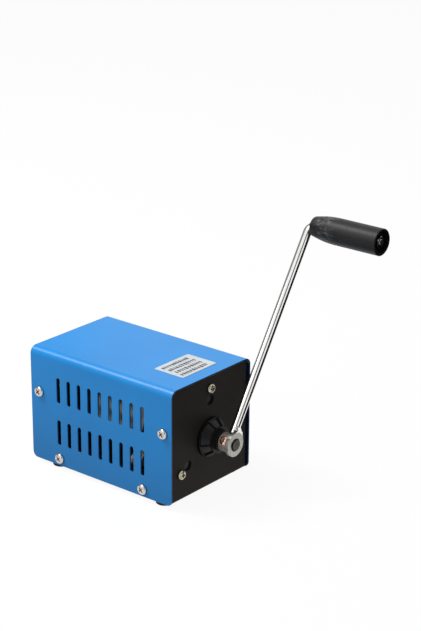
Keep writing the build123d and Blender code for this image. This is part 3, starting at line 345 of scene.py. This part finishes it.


# bright plating along the rod, and a matt flat eye with painted shade round its hole
def crankPlate(name="armChrome", s=armSet):
    finish, tree, shader, place = startFinish(name, metal=1.0)
    lean = math.radians(s["lean"])
    line = grain(tree, place, 0.25, 3.0, 0.6, (1, 1, 0.012), (lean, 0, 0))
    haze = grain(tree, place, 7, 3.0, 0.6, (1, 1, 0.3), (lean, 0, 0))
    wear = grain(tree, place, 0.8, 5.0, 0.7)
    along = coordinate(tree, place, "X")
    reach = distanceTo(tree, place, (0, 0, shaftSet["axisHeight"]), (0, 1, 1))
    shade = between(tree, ranged(tree, haze, 0, 1), s["chrome"], s["haze"])
    matt = between(tree, ranged(tree, wear, 0, 1, 0.4, 0.65), s["eye"], s["eyeWorn"])
    # painted shade: the eye darkens near-black round the shaft's end
    matt = between(tree, ranged(tree, reach, 1, 0, *s["holePaintedShadeTo"]), matt, s["holePaintedShade"])
    flat = combine(tree, "MULTIPLY", ranged(tree, along, 0, 1, s["eyeFrom"] - 0.2, s["eyeFrom"] + 0.2),
                   ranged(tree, reach, 1, 0, s["eyeReach"], s["eyeReach"] + 0.5))
    shade = between(tree, flat, shade, matt)
    smooth = ranged(tree, haze, 0.05, 0.12)
    rough = combine(tree, "ADD", smooth, combine(tree, "MULTIPLY", flat, ranged(tree, wear, 0.16, 0.32)))
    wire(tree, shader, colour=shade, rough=rough)
    raised(tree, shader, line, 0.004, 0.35, 0.2)
    return finish


# brown-grey weld with heat colours
def weldMetal(name="weldMetal"):
    finish, tree, shader, place = startFinish(name, metal=1.0)
    heat = grain(tree, place, 1.3, 4.0, 0.6)
    scale = grain(tree, place, 0.35, 4.0, 0.7)
    shade = between(tree, ranged(tree, heat, 0, 1), (0.42, 0.37, 0.31), (0.13, 0.085, 0.06))
    shade = between(tree, ranged(tree, scale, 0, 0.8, 0.5, 0.7), shade, (0.02, 0.017, 0.015))
    wire(tree, shader, colour=shade, rough=ranged(tree, scale, 0.28, 0.6))
    raised(tree, shader, scale, 0.12, 0.7, 0.1)
    return finish


def mouldedPlastic(name, colour, rough=(0.42, 0.55), size=0.4, bump=0.02, specular=0.4):
    finish, tree, shader, place = startFinish(name, specular=specular)
    skin = grain(tree, place, size, 2.0)
    cloud = grain(tree, place, 12, 3.0)
    shade = between(tree, ranged(tree, cloud, 0, 1), times(colour, 0.88), times(colour, 1.12))
    wire(tree, shader, colour=shade, rough=ranged(tree, skin, *rough))
    raised(tree, shader, skin, bump, 0.4)
    return finish


gripSet = {
    "black": (0.0085, 0.0085, 0.0085),
    "grey": (0.0135, 0.0135, 0.0132),
    "chalk": (0.19, 0.19, 0.185),
    "chalkFrom": 84.0,          # along the grip
    "chalkTo": 104.0,
    "chalkTurn": (0.5, 0.3, 0.2),
}


# matt black moulding with chalky scuffs near the arm's end
def gripPlastic(name="gripPlastic", s=gripSet):
    finish, tree, shader, place = startFinish(name, specular=0.22)
    skin = grain(tree, place, 0.5, 3.0)
    along = coordinate(tree, place, "X")
    near = combine(tree, "MULTIPLY", ranged(tree, along, 0, 1, s["chalkFrom"], s["chalkFrom"] + 4),
                   ranged(tree, along, 1, 0, s["chalkTo"] - 8, s["chalkTo"]))
    smear = grain(tree, place, 1.5, 5.0, 0.72, (0.35, 1, 1), s["chalkTurn"])
    patch = grain(tree, place, 7.0, 2.0)
    chalk = combine(tree, "MULTIPLY", ranged(tree, smear, 0.0, 0.8, 0.46, 0.62), near)
    chalk = combine(tree, "MULTIPLY", chalk, ranged(tree, patch, 0, 1, 0.38, 0.55))
    shade = between(tree, ranged(tree, grain(tree, place, 14, 3.0), 0, 1), s["black"], s["grey"])
    shade = between(tree, chalk, shade, s["chalk"])
    wire(tree, shader, colour=shade, rough=ranged(tree, skin, 0.36, 0.50))
    raised(tree, shader, skin, 0.05, 0.6)
    return finish


def blackRubber(name="blackRubber"):
    finish, tree, shader, place = startFinish(name, specular=0.3)
    dust = grain(tree, place, 0.8, 5.0, 0.7)
    shade = between(tree, ranged(tree, dust, 0, 0.5, 0.5, 0.8), (0.012, 0.012, 0.013), (0.06, 0.058, 0.055))
    wire(tree, shader, colour=shade, rough=ranged(tree, dust, 0.7, 0.85))
    raised(tree, shader, dust, 0.03, 0.4)
    return finish


# matt foil with a faint brushed grain
def silverLabel(name="silverLabel"):
    finish, tree, shader, place = startFinish(name, metal=0.25, coat=0.1, coatRough=0.3)
    line = grain(tree, place, 0.3, 3.0, 0.6, (1, 0.03, 1))
    cloud = grain(tree, place, 12, 3.0)
    shade = between(tree, ranged(tree, cloud, 0, 1), (0.60, 0.64, 0.67), (0.70, 0.73, 0.75))
    wire(tree, shader, colour=shade, rough=ranged(tree, line, 0.38, 0.52))
    raised(tree, shader, line, 0.005, 0.4)
    return finish


def printInk(name, ink, worn):
    finish, tree, shader, place = startFinish(name, specular=0.3)
    wear = grain(tree, place, 0.4, 4.0, 0.7)
    shade = between(tree, ranged(tree, wear, 0, 0.6, 0.5, 0.75), ink, worn)
    wire(tree, shader, colour=shade, rough=ranged(tree, wear, 0.5, 0.7))
    raised(tree, shader, wear, 0.005, 0.3, 0)
    return finish


# thin sheets stacked along X
def laminatedIron(name="lamination"):
    finish, tree, shader, place = startFinish(name, metal=0.9)
    along = addNode(tree, "ShaderNodeSeparateXYZ", {"Vector": place}).outputs["X"]
    sheet = combine(tree, "PINGPONG", combine(tree, "MULTIPLY", along, 1 / (0.5 * mm)), 1.0)
    cloud = grain(tree, place, 4, 3.0)
    shade = between(tree, ranged(tree, cloud, 0, 1), (0.20, 0.21, 0.23), (0.30, 0.31, 0.33))
    wire(tree, shader, colour=shade, rough=ranged(tree, cloud, 0.4, 0.55))
    raised(tree, shader, sheet, 0.1, 0.6)
    return finish


def woundCopper(name="copper"):
    finish, tree, shader, place = startFinish(name, metal=0.85, coat=0.6, coatRough=0.15)
    strand = grain(tree, place, 0.5, 1.0, 0.4, (0.05, 1, 1))
    shade = between(tree, ranged(tree, strand, 0, 1), (0.42, 0.13, 0.045), (0.70, 0.27, 0.10))
    wire(tree, shader, colour=shade, rough=ranged(tree, strand, 0.25, 0.4))
    raised(tree, shader, strand, 0.15, 0.8)
    return finish


# green solder mask with tracks that run straight and at right angles
def circuitBoard(name="greenBoard"):
    finish, tree, shader, place = startFinish(name, specular=0.5, coat=0.4, coatRough=0.2)
    turned = addNode(tree, "ShaderNodeMapping", {"Vector": place, "Rotation": (0, math.pi / 2, math.pi / 2)})
    cell = addNode(tree, "ShaderNodeTexBrick", {"Scale": 1 / (9 * mm), "Mortar Size": 0.035,
                                                "Vector": turned.outputs["Vector"],
                                                "Color1": (0, 0, 0, 1), "Color2": (0, 0, 0, 1),
                                                "Mortar": (1, 1, 1, 1)})
    cloud = grain(tree, place, 8, 2.0)
    shade = between(tree, ranged(tree, cloud, 0, 1), (0.008, 0.085, 0.030), (0.012, 0.12, 0.045))
    shade = between(tree, cell.outputs["Color"], shade, (0.03, 0.22, 0.08))
    wire(tree, shader, colour=shade, rough=ranged(tree, cloud, 0.3, 0.4))
    raised(tree, shader, cell.outputs["Color"], 0.03, 0.5)
    return finish


# dark red filter over a volt display
def meterGlass(name="meterRed"):
    finish, tree, shader, place = startFinish(name, specular=0.5, coat=0.8, coatRough=0.06)
    haze = grain(tree, place, 6, 3.0)
    shade = between(tree, ranged(tree, haze, 0, 1), (0.045, 0.003, 0.003), (0.075, 0.006, 0.005))
    wire(tree, shader, colour=shade, rough=ranged(tree, haze, 0.12, 0.2))
    raised(tree, shader, haze, 0.01, 0.2)
    return finish


finishes = {
    "blue_paint": bluePaint(),
    "black_paint": blackPaint(),
    "bright_screw": platedMetal("brightScrew", (0.86, 0.85, 0.84), (0.66, 0.65, 0.63)),
    "zinc_screw": platedMetal("zincScrew", (0.60, 0.55, 0.38), (0.42, 0.37, 0.22)),
    "black_rubber": blackRubber(),
    "silver_label": silverLabel(),
    "black_plastic": mouldedPlastic("blackPlastic", (0.010, 0.010, 0.0105), (0.34, 0.46)),
    "bronze": turnedMetal("bronzeBush", (0.62, 0.42, 0.22), (0.50, 0.32, 0.16)),
    "cast_plate": castMetal("castPlate", (0.56, 0.56, 0.55), (0.42, 0.42, 0.42)),
    "gear_steel": turnedMetal("gearSteel", (0.52, 0.53, 0.54), (0.40, 0.40, 0.41)),
    "gear_nylon": mouldedPlastic("gearNylon", (0.72, 0.70, 0.62), (0.35, 0.48)),
    "hub_steel": turnedMetal("hubSteel", (0.56, 0.52, 0.45), (0.32, 0.28, 0.23), (0.42, 0.6), 0.3, 0.02),
    "arm_chrome": crankPlate(),
    "grip_plastic": gripPlastic(),
    "can_steel": turnedMetal("canSteel", (0.52, 0.55, 0.55), (0.40, 0.43, 0.43), (0.3, 0.45), 0.5),
    "magnet": castMetal("ferrite", (0.10, 0.10, 0.11), (0.06, 0.06, 0.065), 0.3, (0.55, 0.7)),
    "lamination": laminatedIron(),
    "copper": woundCopper(),
    "brass": turnedMetal("brassTab", (0.74, 0.55, 0.24), (0.60, 0.42, 0.17), (0.22, 0.36)),
    "green_board": circuitBoard(),
    "part_black": mouldedPlastic("partBlack", (0.016, 0.016, 0.017), (0.35, 0.5), 0.25),
    "part_red": mouldedPlastic("partRed", (0.50, 0.018, 0.014), (0.28, 0.4), 0.25),
    "meter_red": meterGlass(),
    "pot_metal": turnedMetal("potMetal", (0.66, 0.65, 0.62), (0.52, 0.50, 0.47), (0.25, 0.4)),
}
ownFinish = {
    "side_screws": platedMetal("sideScrew", (0.74, 0.73, 0.72), (0.40, 0.38, 0.36), (0.12, 0.24), 0.8,
                               (0.30, 0.17, 0.10), sideRecess),
    "panel_screws": platedMetal("panelScrew", (0.66, 0.63, 0.48), (0.20, 0.18, 0.11), (0.14, 0.28), 1.0,
                                (0.10, 0.085, 0.04), panelRecess),
    "clamp_screw": platedMetal("clampCopper", (0.92, 0.66, 0.50), (0.46, 0.25, 0.15), (0.16, 0.32), 1.2,
                               (0.10, 0.045, 0.02)),
    "grip_nut": platedMetal("gripNut", (0.50, 0.49, 0.48), (0.10, 0.095, 0.09), (0.12, 0.26), 0.8),
    "grip_washer": platedMetal("gripWasher", (0.07, 0.07, 0.07), (0.03, 0.03, 0.03), (0.4, 0.6), 0.9),
    "crank_shaft": shaftSteel(),
    "gearbox_housing": mouldedPlastic("bossPlastic", (0.0042, 0.0040, 0.0040), (0.34, 0.46), 0.5, 0.02, 0.26),
}
print("finishes made:", len(finishes) + len(ownFinish))


slotOf = {s["node"]: s["material_slot"] for s in frame["record"]["subparts"]}


def dress(nodeName):
    mesh = nodes[nodeName].data
    mesh.materials.clear()
    mesh.materials.append(ownFinish.get(nodeName) or finishes[slotOf[nodeName]])


for nodeName in nodes:
    dress(nodeName)
print("nodes dressed")


def addPiece(name, mesh, body, finish):
    piece = bpy.data.objects.new(name, mesh)
    bpy.context.scene.collection.objects.link(piece)
    mesh.materials.append(finish)
    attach(piece, body)
    return piece


def meshFrom(bm, name, smooth=False):
    mesh = bpy.data.meshes.new(name)
    bm.to_mesh(mesh)
    bm.free()
    if smooth:
        for face in mesh.polygons:
            face.use_smooth = True
    return mesh


# a block between two corners, in millimetres
def addBlock(bm, low, high, turn=None):
    made = bmesh.ops.create_cube(bm, size=1.0)["verts"]
    middle = (Vector(low) + Vector(high)) / 2
    size = Vector(high) - Vector(low)
    for vert in made:
        vert.co = Vector((vert.co.x * size.x, vert.co.y * size.y, vert.co.z * size.z))
    for vert in made:
        spot = turn @ vert.co if turn else vert.co
        vert.co = (spot + middle) * mm


# a tube of round sections along a path, in millimetres
def addTube(bm, path, radii, sides=10):
    rings = []
    count = len(path)
    for i, spot in enumerate(path):
        ahead = path[min(i + 1, count - 1)]
        behind = path[max(i - 1, 0)]
        along = (Vector(ahead) - Vector(behind)).normalized()
        side = along.orthogonal().normalized() if not rings else (side - side.dot(along) * along).normalized()
        other = along.cross(side)
        ring = []
        for k in range(sides):
            a = 2 * math.pi * k / sides
            outward = math.cos(a) * side + math.sin(a) * other
            ring.append(bm.verts.new((Vector(spot) + radii[i] * outward) * mm))
        rings.append(ring)
    for a, b in zip(rings, rings[1:]):
        for k in range(sides):
            bm.faces.new((a[k], a[(k + 1) % sides], b[(k + 1) % sides], b[k]))
    bm.faces.new(list(reversed(rings[0])))
    bm.faces.new(rings[-1])


# rows of plain dark bars where such a label has its words
labelSet = {
    "rows": (32.0, 37.3, 42.6, 47.9),
    "rowHeight": (2.8, 3.6),
    "barWidth": (1.1, 1.9),
    "gap": (0.8, 1.15),
    "start": (-14.6, -12.6),
    "end": (9.0, 12.6),
    "top": 83.2,
    "shift": 0.2,
    "thick": 0.03,
    "sunk": 0.01,               # into the label
    "seed": 7,
}


def makeLabelPrint(s):
    pick = random.Random(s["seed"])
    bm = bmesh.new()
    for row in s["rows"]:
        y = pick.uniform(*s["start"])
        end = pick.uniform(*s["end"])
        while y < end:
            width = pick.uniform(*s["barWidth"])
            half = pick.uniform(*s["rowHeight"]) / 2
            shift = pick.uniform(-s["shift"], s["shift"])
            low = (row - half + shift, y, s["top"] - s["sunk"])
            addBlock(bm, low, (row + half + shift, y + width, s["top"] + s["thick"]))
            y += width + pick.uniform(*s["gap"])
    ink = printInk("labelInk", (0.030, 0.032, 0.038), (0.20, 0.21, 0.22))
    addPiece("labelPrint", meshFrom(bm, "labelPrint"), "case", ink)


makeLabelPrint(labelSet)
print("label printed")


# welds that hold the rod and the eye to the hub
weldSet = {
    "axis": 39.0,
    "hubWeldX": 79.55,
    "hubWeldRadius": 6.35,
    "hubWeldFrom": -60,
    "hubWeldTo": 240,
    "bead": 0.62,
    "ripple": 0.10,
    "sway": 0.05,
    "rippleTurn": 1.9,          # from one step to the next
    "steps": 70,
    "seed": 3,
    "tabX": 78.6,
    "tabFrom": 7.8,             # from the shaft's axis
    "tabLong": 4.0,
    "tabHalf": 2.2,
    "tabBead": 0.95,
    "tabSteps": 12,
    "tabLoose": 0.08,
    "tabSway": 0.12,
}


# thins a bead out towards its ends
def taper(share, least):
    return min(1.0, least + 4 * min(share, 1 - share))


def makeWelds(s):
    pick = random.Random(s["seed"])
    bm = bmesh.new()
    path, radii = [], []
    for i in range(s["steps"]):
        share = i / (s["steps"] - 1)
        a = math.radians(s["hubWeldFrom"] + share * (s["hubWeldTo"] - s["hubWeldFrom"]))
        ripple = s["ripple"] * math.sin(i * s["rippleTurn"])
        reach = s["hubWeldRadius"] + ripple + pick.uniform(-s["sway"], s["sway"])
        x = s["hubWeldX"] + s["sway"] * math.sin(i * 1.3)
        path.append((x, reach * math.cos(a), s["axis"] + reach * math.sin(a)))
        radii.append(s["bead"] * (0.88 + 0.12 * math.cos(i * s["rippleTurn"])) * taper(share, 0.3))
    addTube(bm, path, radii, 8)
    addPiece("weldBeads", meshFrom(bm, "weldBeads", True), "crank", weldMetal())
    lean = math.radians(armSet["lean"])
    rise = Vector((0, math.sin(lean), math.cos(lean)))
    across = Vector((0, math.cos(lean), -math.sin(lean)))
    bm = bmesh.new()
    for hand in (-1, 1):     # bright melted metal on both sides of the rod's root
        path, radii = [], []
        for i in range(s["tabSteps"]):
            share = i / (s["tabSteps"] - 1)
            spot = Vector((s["tabX"], 0, s["axis"])) + rise * (s["tabFrom"] + s["tabLong"] * share)
            spot += across * hand * (s["tabHalf"] + pick.uniform(-s["tabLoose"], s["tabLoose"]))
            spot += Vector((s["tabSway"] * math.sin(i * 2.1), 0, 0))
            path.append(tuple(spot))
            radii.append(s["tabBead"] * (0.85 + 0.15 * math.cos(i * 2.3)) * taper(share, 0.5))
        addTube(bm, path, radii, 10)
    addPiece("rootWelds", meshFrom(bm, "rootWelds", True), "crank", finishes["arm_chrome"])


makeWelds(weldSet)
print("welds made")


# the charging panel's plain marks: dial ticks, signs, port outlines
panelSet = {
    "face": -60.8,
    "thick": 0.03,
    "sunk": 0.01,
    "line": 0.35,
    "dialY": 19.0,
    "dialZ": 45.0,
    "dialRadius": 10.4,
    "dialTicks": 11,
    "dialSpan": 140.0,
    "tickLong": 1.5,
    "tickShort": 1.0,
    "signZ": 26.2,
    "signHalf": 1.4,
    "socketY": 9.5,
    "portY": -19.0,
    "portZ": 45.0,
    "portHalf": (8.6, 9.8),
    "cornerHalf": 1.5,
}


def makePanelMarks(s):
    bm = bmesh.new()
    low, high = s["face"] - s["thick"], s["face"] + s["sunk"]

    def mark(y, z, halfY, halfZ, turn=0.0):
        spin = Matrix.Rotation(turn, 3, "X")
        addBlock(bm, (low, y - halfY, z - halfZ), (high, y + halfY, z + halfZ), spin)

    for i in range(s["dialTicks"]):
        share = i / (s["dialTicks"] - 1)
        a = math.radians(-s["dialSpan"] + 2 * s["dialSpan"] * share)
        long = s["tickLong"] if i % 5 == 0 else s["tickShort"]
        reach = s["dialRadius"] + long / 2
        mark(s["dialY"] - reach * math.sin(a), s["dialZ"] + reach * math.cos(a), s["line"] / 2, long / 2, a)
    thin = s["line"] / 2
    for hand in (-1, 1):     # minus beside the black socket, plus beside the red one
        mark(hand * s["socketY"], s["signZ"], s["signHalf"], thin)
    mark(-s["socketY"], s["signZ"], thin, s["signHalf"])
    halfY, halfZ = s["portHalf"]
    corner = s["cornerHalf"]
    for hand in (-1, 1):     # corners of the frame round the ports
        for rise in (-1, 1):
            mark(s["portY"] + hand * (halfY - corner), s["portZ"] + rise * halfZ, corner, thin)
            mark(s["portY"] + hand * halfY, s["portZ"] + rise * (halfZ - corner), thin, corner)
    ink = printInk("panelInk", (0.62, 0.62, 0.60), (0.32, 0.32, 0.31))
    addPiece("panelMarks", meshFrom(bm, "panelMarks"), "case", ink)


makePanelMarks(panelSet)


# three unlit seven-bar figures behind the meter's window
meterSet = {
    "middleZ": 70.0,
    "figureWidth": 4.6,
    "figureHeight": 8.4,
    "pitch": 7.2,
    "bar": 0.95,
    "slant": 0.09,
    "pointGap": 1.2,
    "thick": 0.03,
    "sunk": 0.01,
}


def makeMeterFigures(s):
    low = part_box("meter_window")[0][0] / mm
    bm = bmesh.new()
    w, h, b = s["figureWidth"] / 2, s["figureHeight"] / 2, s["bar"] / 2
    for place in (-1, 0, 1):
        middle = -place * s["pitch"]
        bars = [(0, h, w - b, b), (0, 0, w - b, b), (0, -h, w - b, b)]
        bars += [(hand * w, rise * h / 2, b, h / 2 - b) for hand in (-1, 1) for rise in (-1, 1)]
        bars.append((-w - s["pointGap"], -h, b, b))
        for y, z, halfY, halfZ in bars:
            y = middle + y - s["slant"] * z
            z += s["middleZ"]
            addBlock(bm, (low - s["thick"], y - halfY, z - halfZ), (low + s["sunk"], y + halfY, z + halfZ))
    ink = printInk("meterBars", (0.115, 0.010, 0.008), (0.09, 0.008, 0.006))
    addPiece("meterFigures", meshFrom(bm, "meterFigures"), "case", ink)


makeMeterFigures(meterSet)
print("charging panel marked")


stageSet = {
    "floorSize": 6.0,
    "floorShade": 0.34,         # what light bounces off
    "floorSeen": 0.97,
    "floorShow": 0.93,          # share of plain white in what the camera sees of the floor
    "skyLight": 0.40,
}
lampSet = {
    "keyLamp": {"place": (-0.80, -0.40, 1.35), "aim": (0, 0, 0.05), "size": (0.45, 0.8), "power": 19.5},
    "frontLamp": {"place": (-0.45, -1.25, 0.85), "aim": (0, 0, 0.05), "size": (0.7, 0.5), "power": 3.4},
}
# black cards that only show in the metal, as a studio's flags do; they stand round the rod, parallel to it
cardSet = {
    "rodMiddle": (0.077, 0.046, 0.111),
    "lean": armSet["lean"],
    "cards": {                  # way from the rod, distance, width, length, grey
        "lineCard": ((0.667, -0.625, 0.397), 0.90, 0.42, 1.6, 0.22),
        "bandCard": ((0.803, 0.498, -0.317), 0.14, 0.200, 0.30, 0.01),
        "rimCard": ((-0.966, -0.207, 0.132), 0.50, 0.80, 0.9, 0.75),
    },
}


def addArea(name, place, aim, size, power):
    data = bpy.data.lights.new(name, "AREA")
    data.shape = "RECTANGLE"
    data.size, data.size_y = size
    data.energy = power
    lamp = bpy.data.objects.new(name, data)
    lamp.location = place
    lamp.rotation_euler = (Vector(aim) - Vector(place)).to_track_quat("-Z", "Y").to_euler()
    bpy.context.scene.collection.objects.link(lamp)


# 1 for what the camera sees itself, in a mirror or through glass
def seenDirect(tree):
    path = addNode(tree, "ShaderNodeLightPath").outputs
    seen = combine(tree, "MAXIMUM", path["Is Camera Ray"], path["Is Glossy Ray"])
    return combine(tree, "MAXIMUM", seen, path["Is Transmission Ray"])


def makeFloor(s):
    mesh = bpy.data.meshes.new("studioFloor")
    half = s["floorSize"] / 2
    corners = [(-half, -half, 0), (half, -half, 0), (half, half, 0), (-half, half, 0)]
    mesh.from_pydata(corners, [], [(0, 1, 2, 3)])
    floor = bpy.data.objects.new("studioFloor", mesh)
    bpy.context.scene.collection.objects.link(floor)
    finish = bpy.data.materials.new("studioFloor")
    finish.use_nodes = True
    tree = finish.node_tree
    tree.nodes.clear()
    seen = seenDirect(tree)
    shade = between(tree, seen, (s["floorShade"],) * 3, (s["floorSeen"],) * 3)
    paper = addNode(tree, "ShaderNodeBsdfDiffuse", {"Color": shade}).outputs[0]
    white = addNode(tree, "ShaderNodeEmission", {"Color": (1, 1, 1, 1), "Strength": 1.0}).outputs[0]
    factor = combine(tree, "MULTIPLY", seen, s["floorShow"])
    mix = addNode(tree, "ShaderNodeMixShader", {"Fac": factor, 1: paper, 2: white})
    addNode(tree, "ShaderNodeOutputMaterial", {"Surface": mix.outputs[0]})
    mesh.materials.append(finish)


def makeCard(name, way, distance, width, height, grey, s=cardSet):
    lean = math.radians(s["lean"])
    along = Vector((0, math.sin(lean), math.cos(lean)))
    way = (Vector(way) - Vector(way).dot(along) * along).normalized()
    mesh = bpy.data.meshes.new(name)
    corners = [(-width / 2, -height / 2, 0), (width / 2, -height / 2, 0), (width / 2, height / 2, 0),
               (-width / 2, height / 2, 0)]
    mesh.from_pydata(corners, [], [(0, 1, 2, 3)])
    card = bpy.data.objects.new(name, mesh)
    turn = Matrix((along.cross(-way), along, -way)).transposed().to_4x4()
    card.matrix_world = Matrix.Translation(Vector(s["rodMiddle"]) + distance * way) @ turn
    bpy.context.scene.collection.objects.link(card)
    finish = bpy.data.materials.new(name)
    finish.use_nodes = True
    tree = finish.node_tree
    tree.nodes.clear()
    cloth = addNode(tree, "ShaderNodeBsdfDiffuse", {"Color": (grey, grey, grey, 1)})
    addNode(tree, "ShaderNodeOutputMaterial", {"Surface": cloth.outputs[0]})
    mesh.materials.append(finish)
    card.visible_camera = False
    card.visible_diffuse = False
    card.visible_shadow = False
    card.visible_transmission = False


def makeSky(s):
    world = bpy.data.worlds.new("studioSky")
    bpy.context.scene.world = world
    world.use_nodes = True
    tree = world.node_tree
    tree.nodes.clear()
    strength = ranged(tree, seenDirect(tree), s["skyLight"], 1.0, 0.0, 1.0)
    sky = addNode(tree, "ShaderNodeBackground", {"Color": (1, 1, 1, 1), "Strength": strength})
    addNode(tree, "ShaderNodeOutputWorld", {"Surface": sky.outputs[0]})


makeFloor(stageSet)
makeSky(stageSet)
for name, lamp in lampSet.items():
    addArea(name, lamp["place"], lamp["aim"], lamp["size"], lamp["power"])
for name, card in cardSet["cards"].items():
    makeCard(name, *card)
print("stage set")

scene = bpy.context.scene
scene.view_settings.view_transform = "Standard"
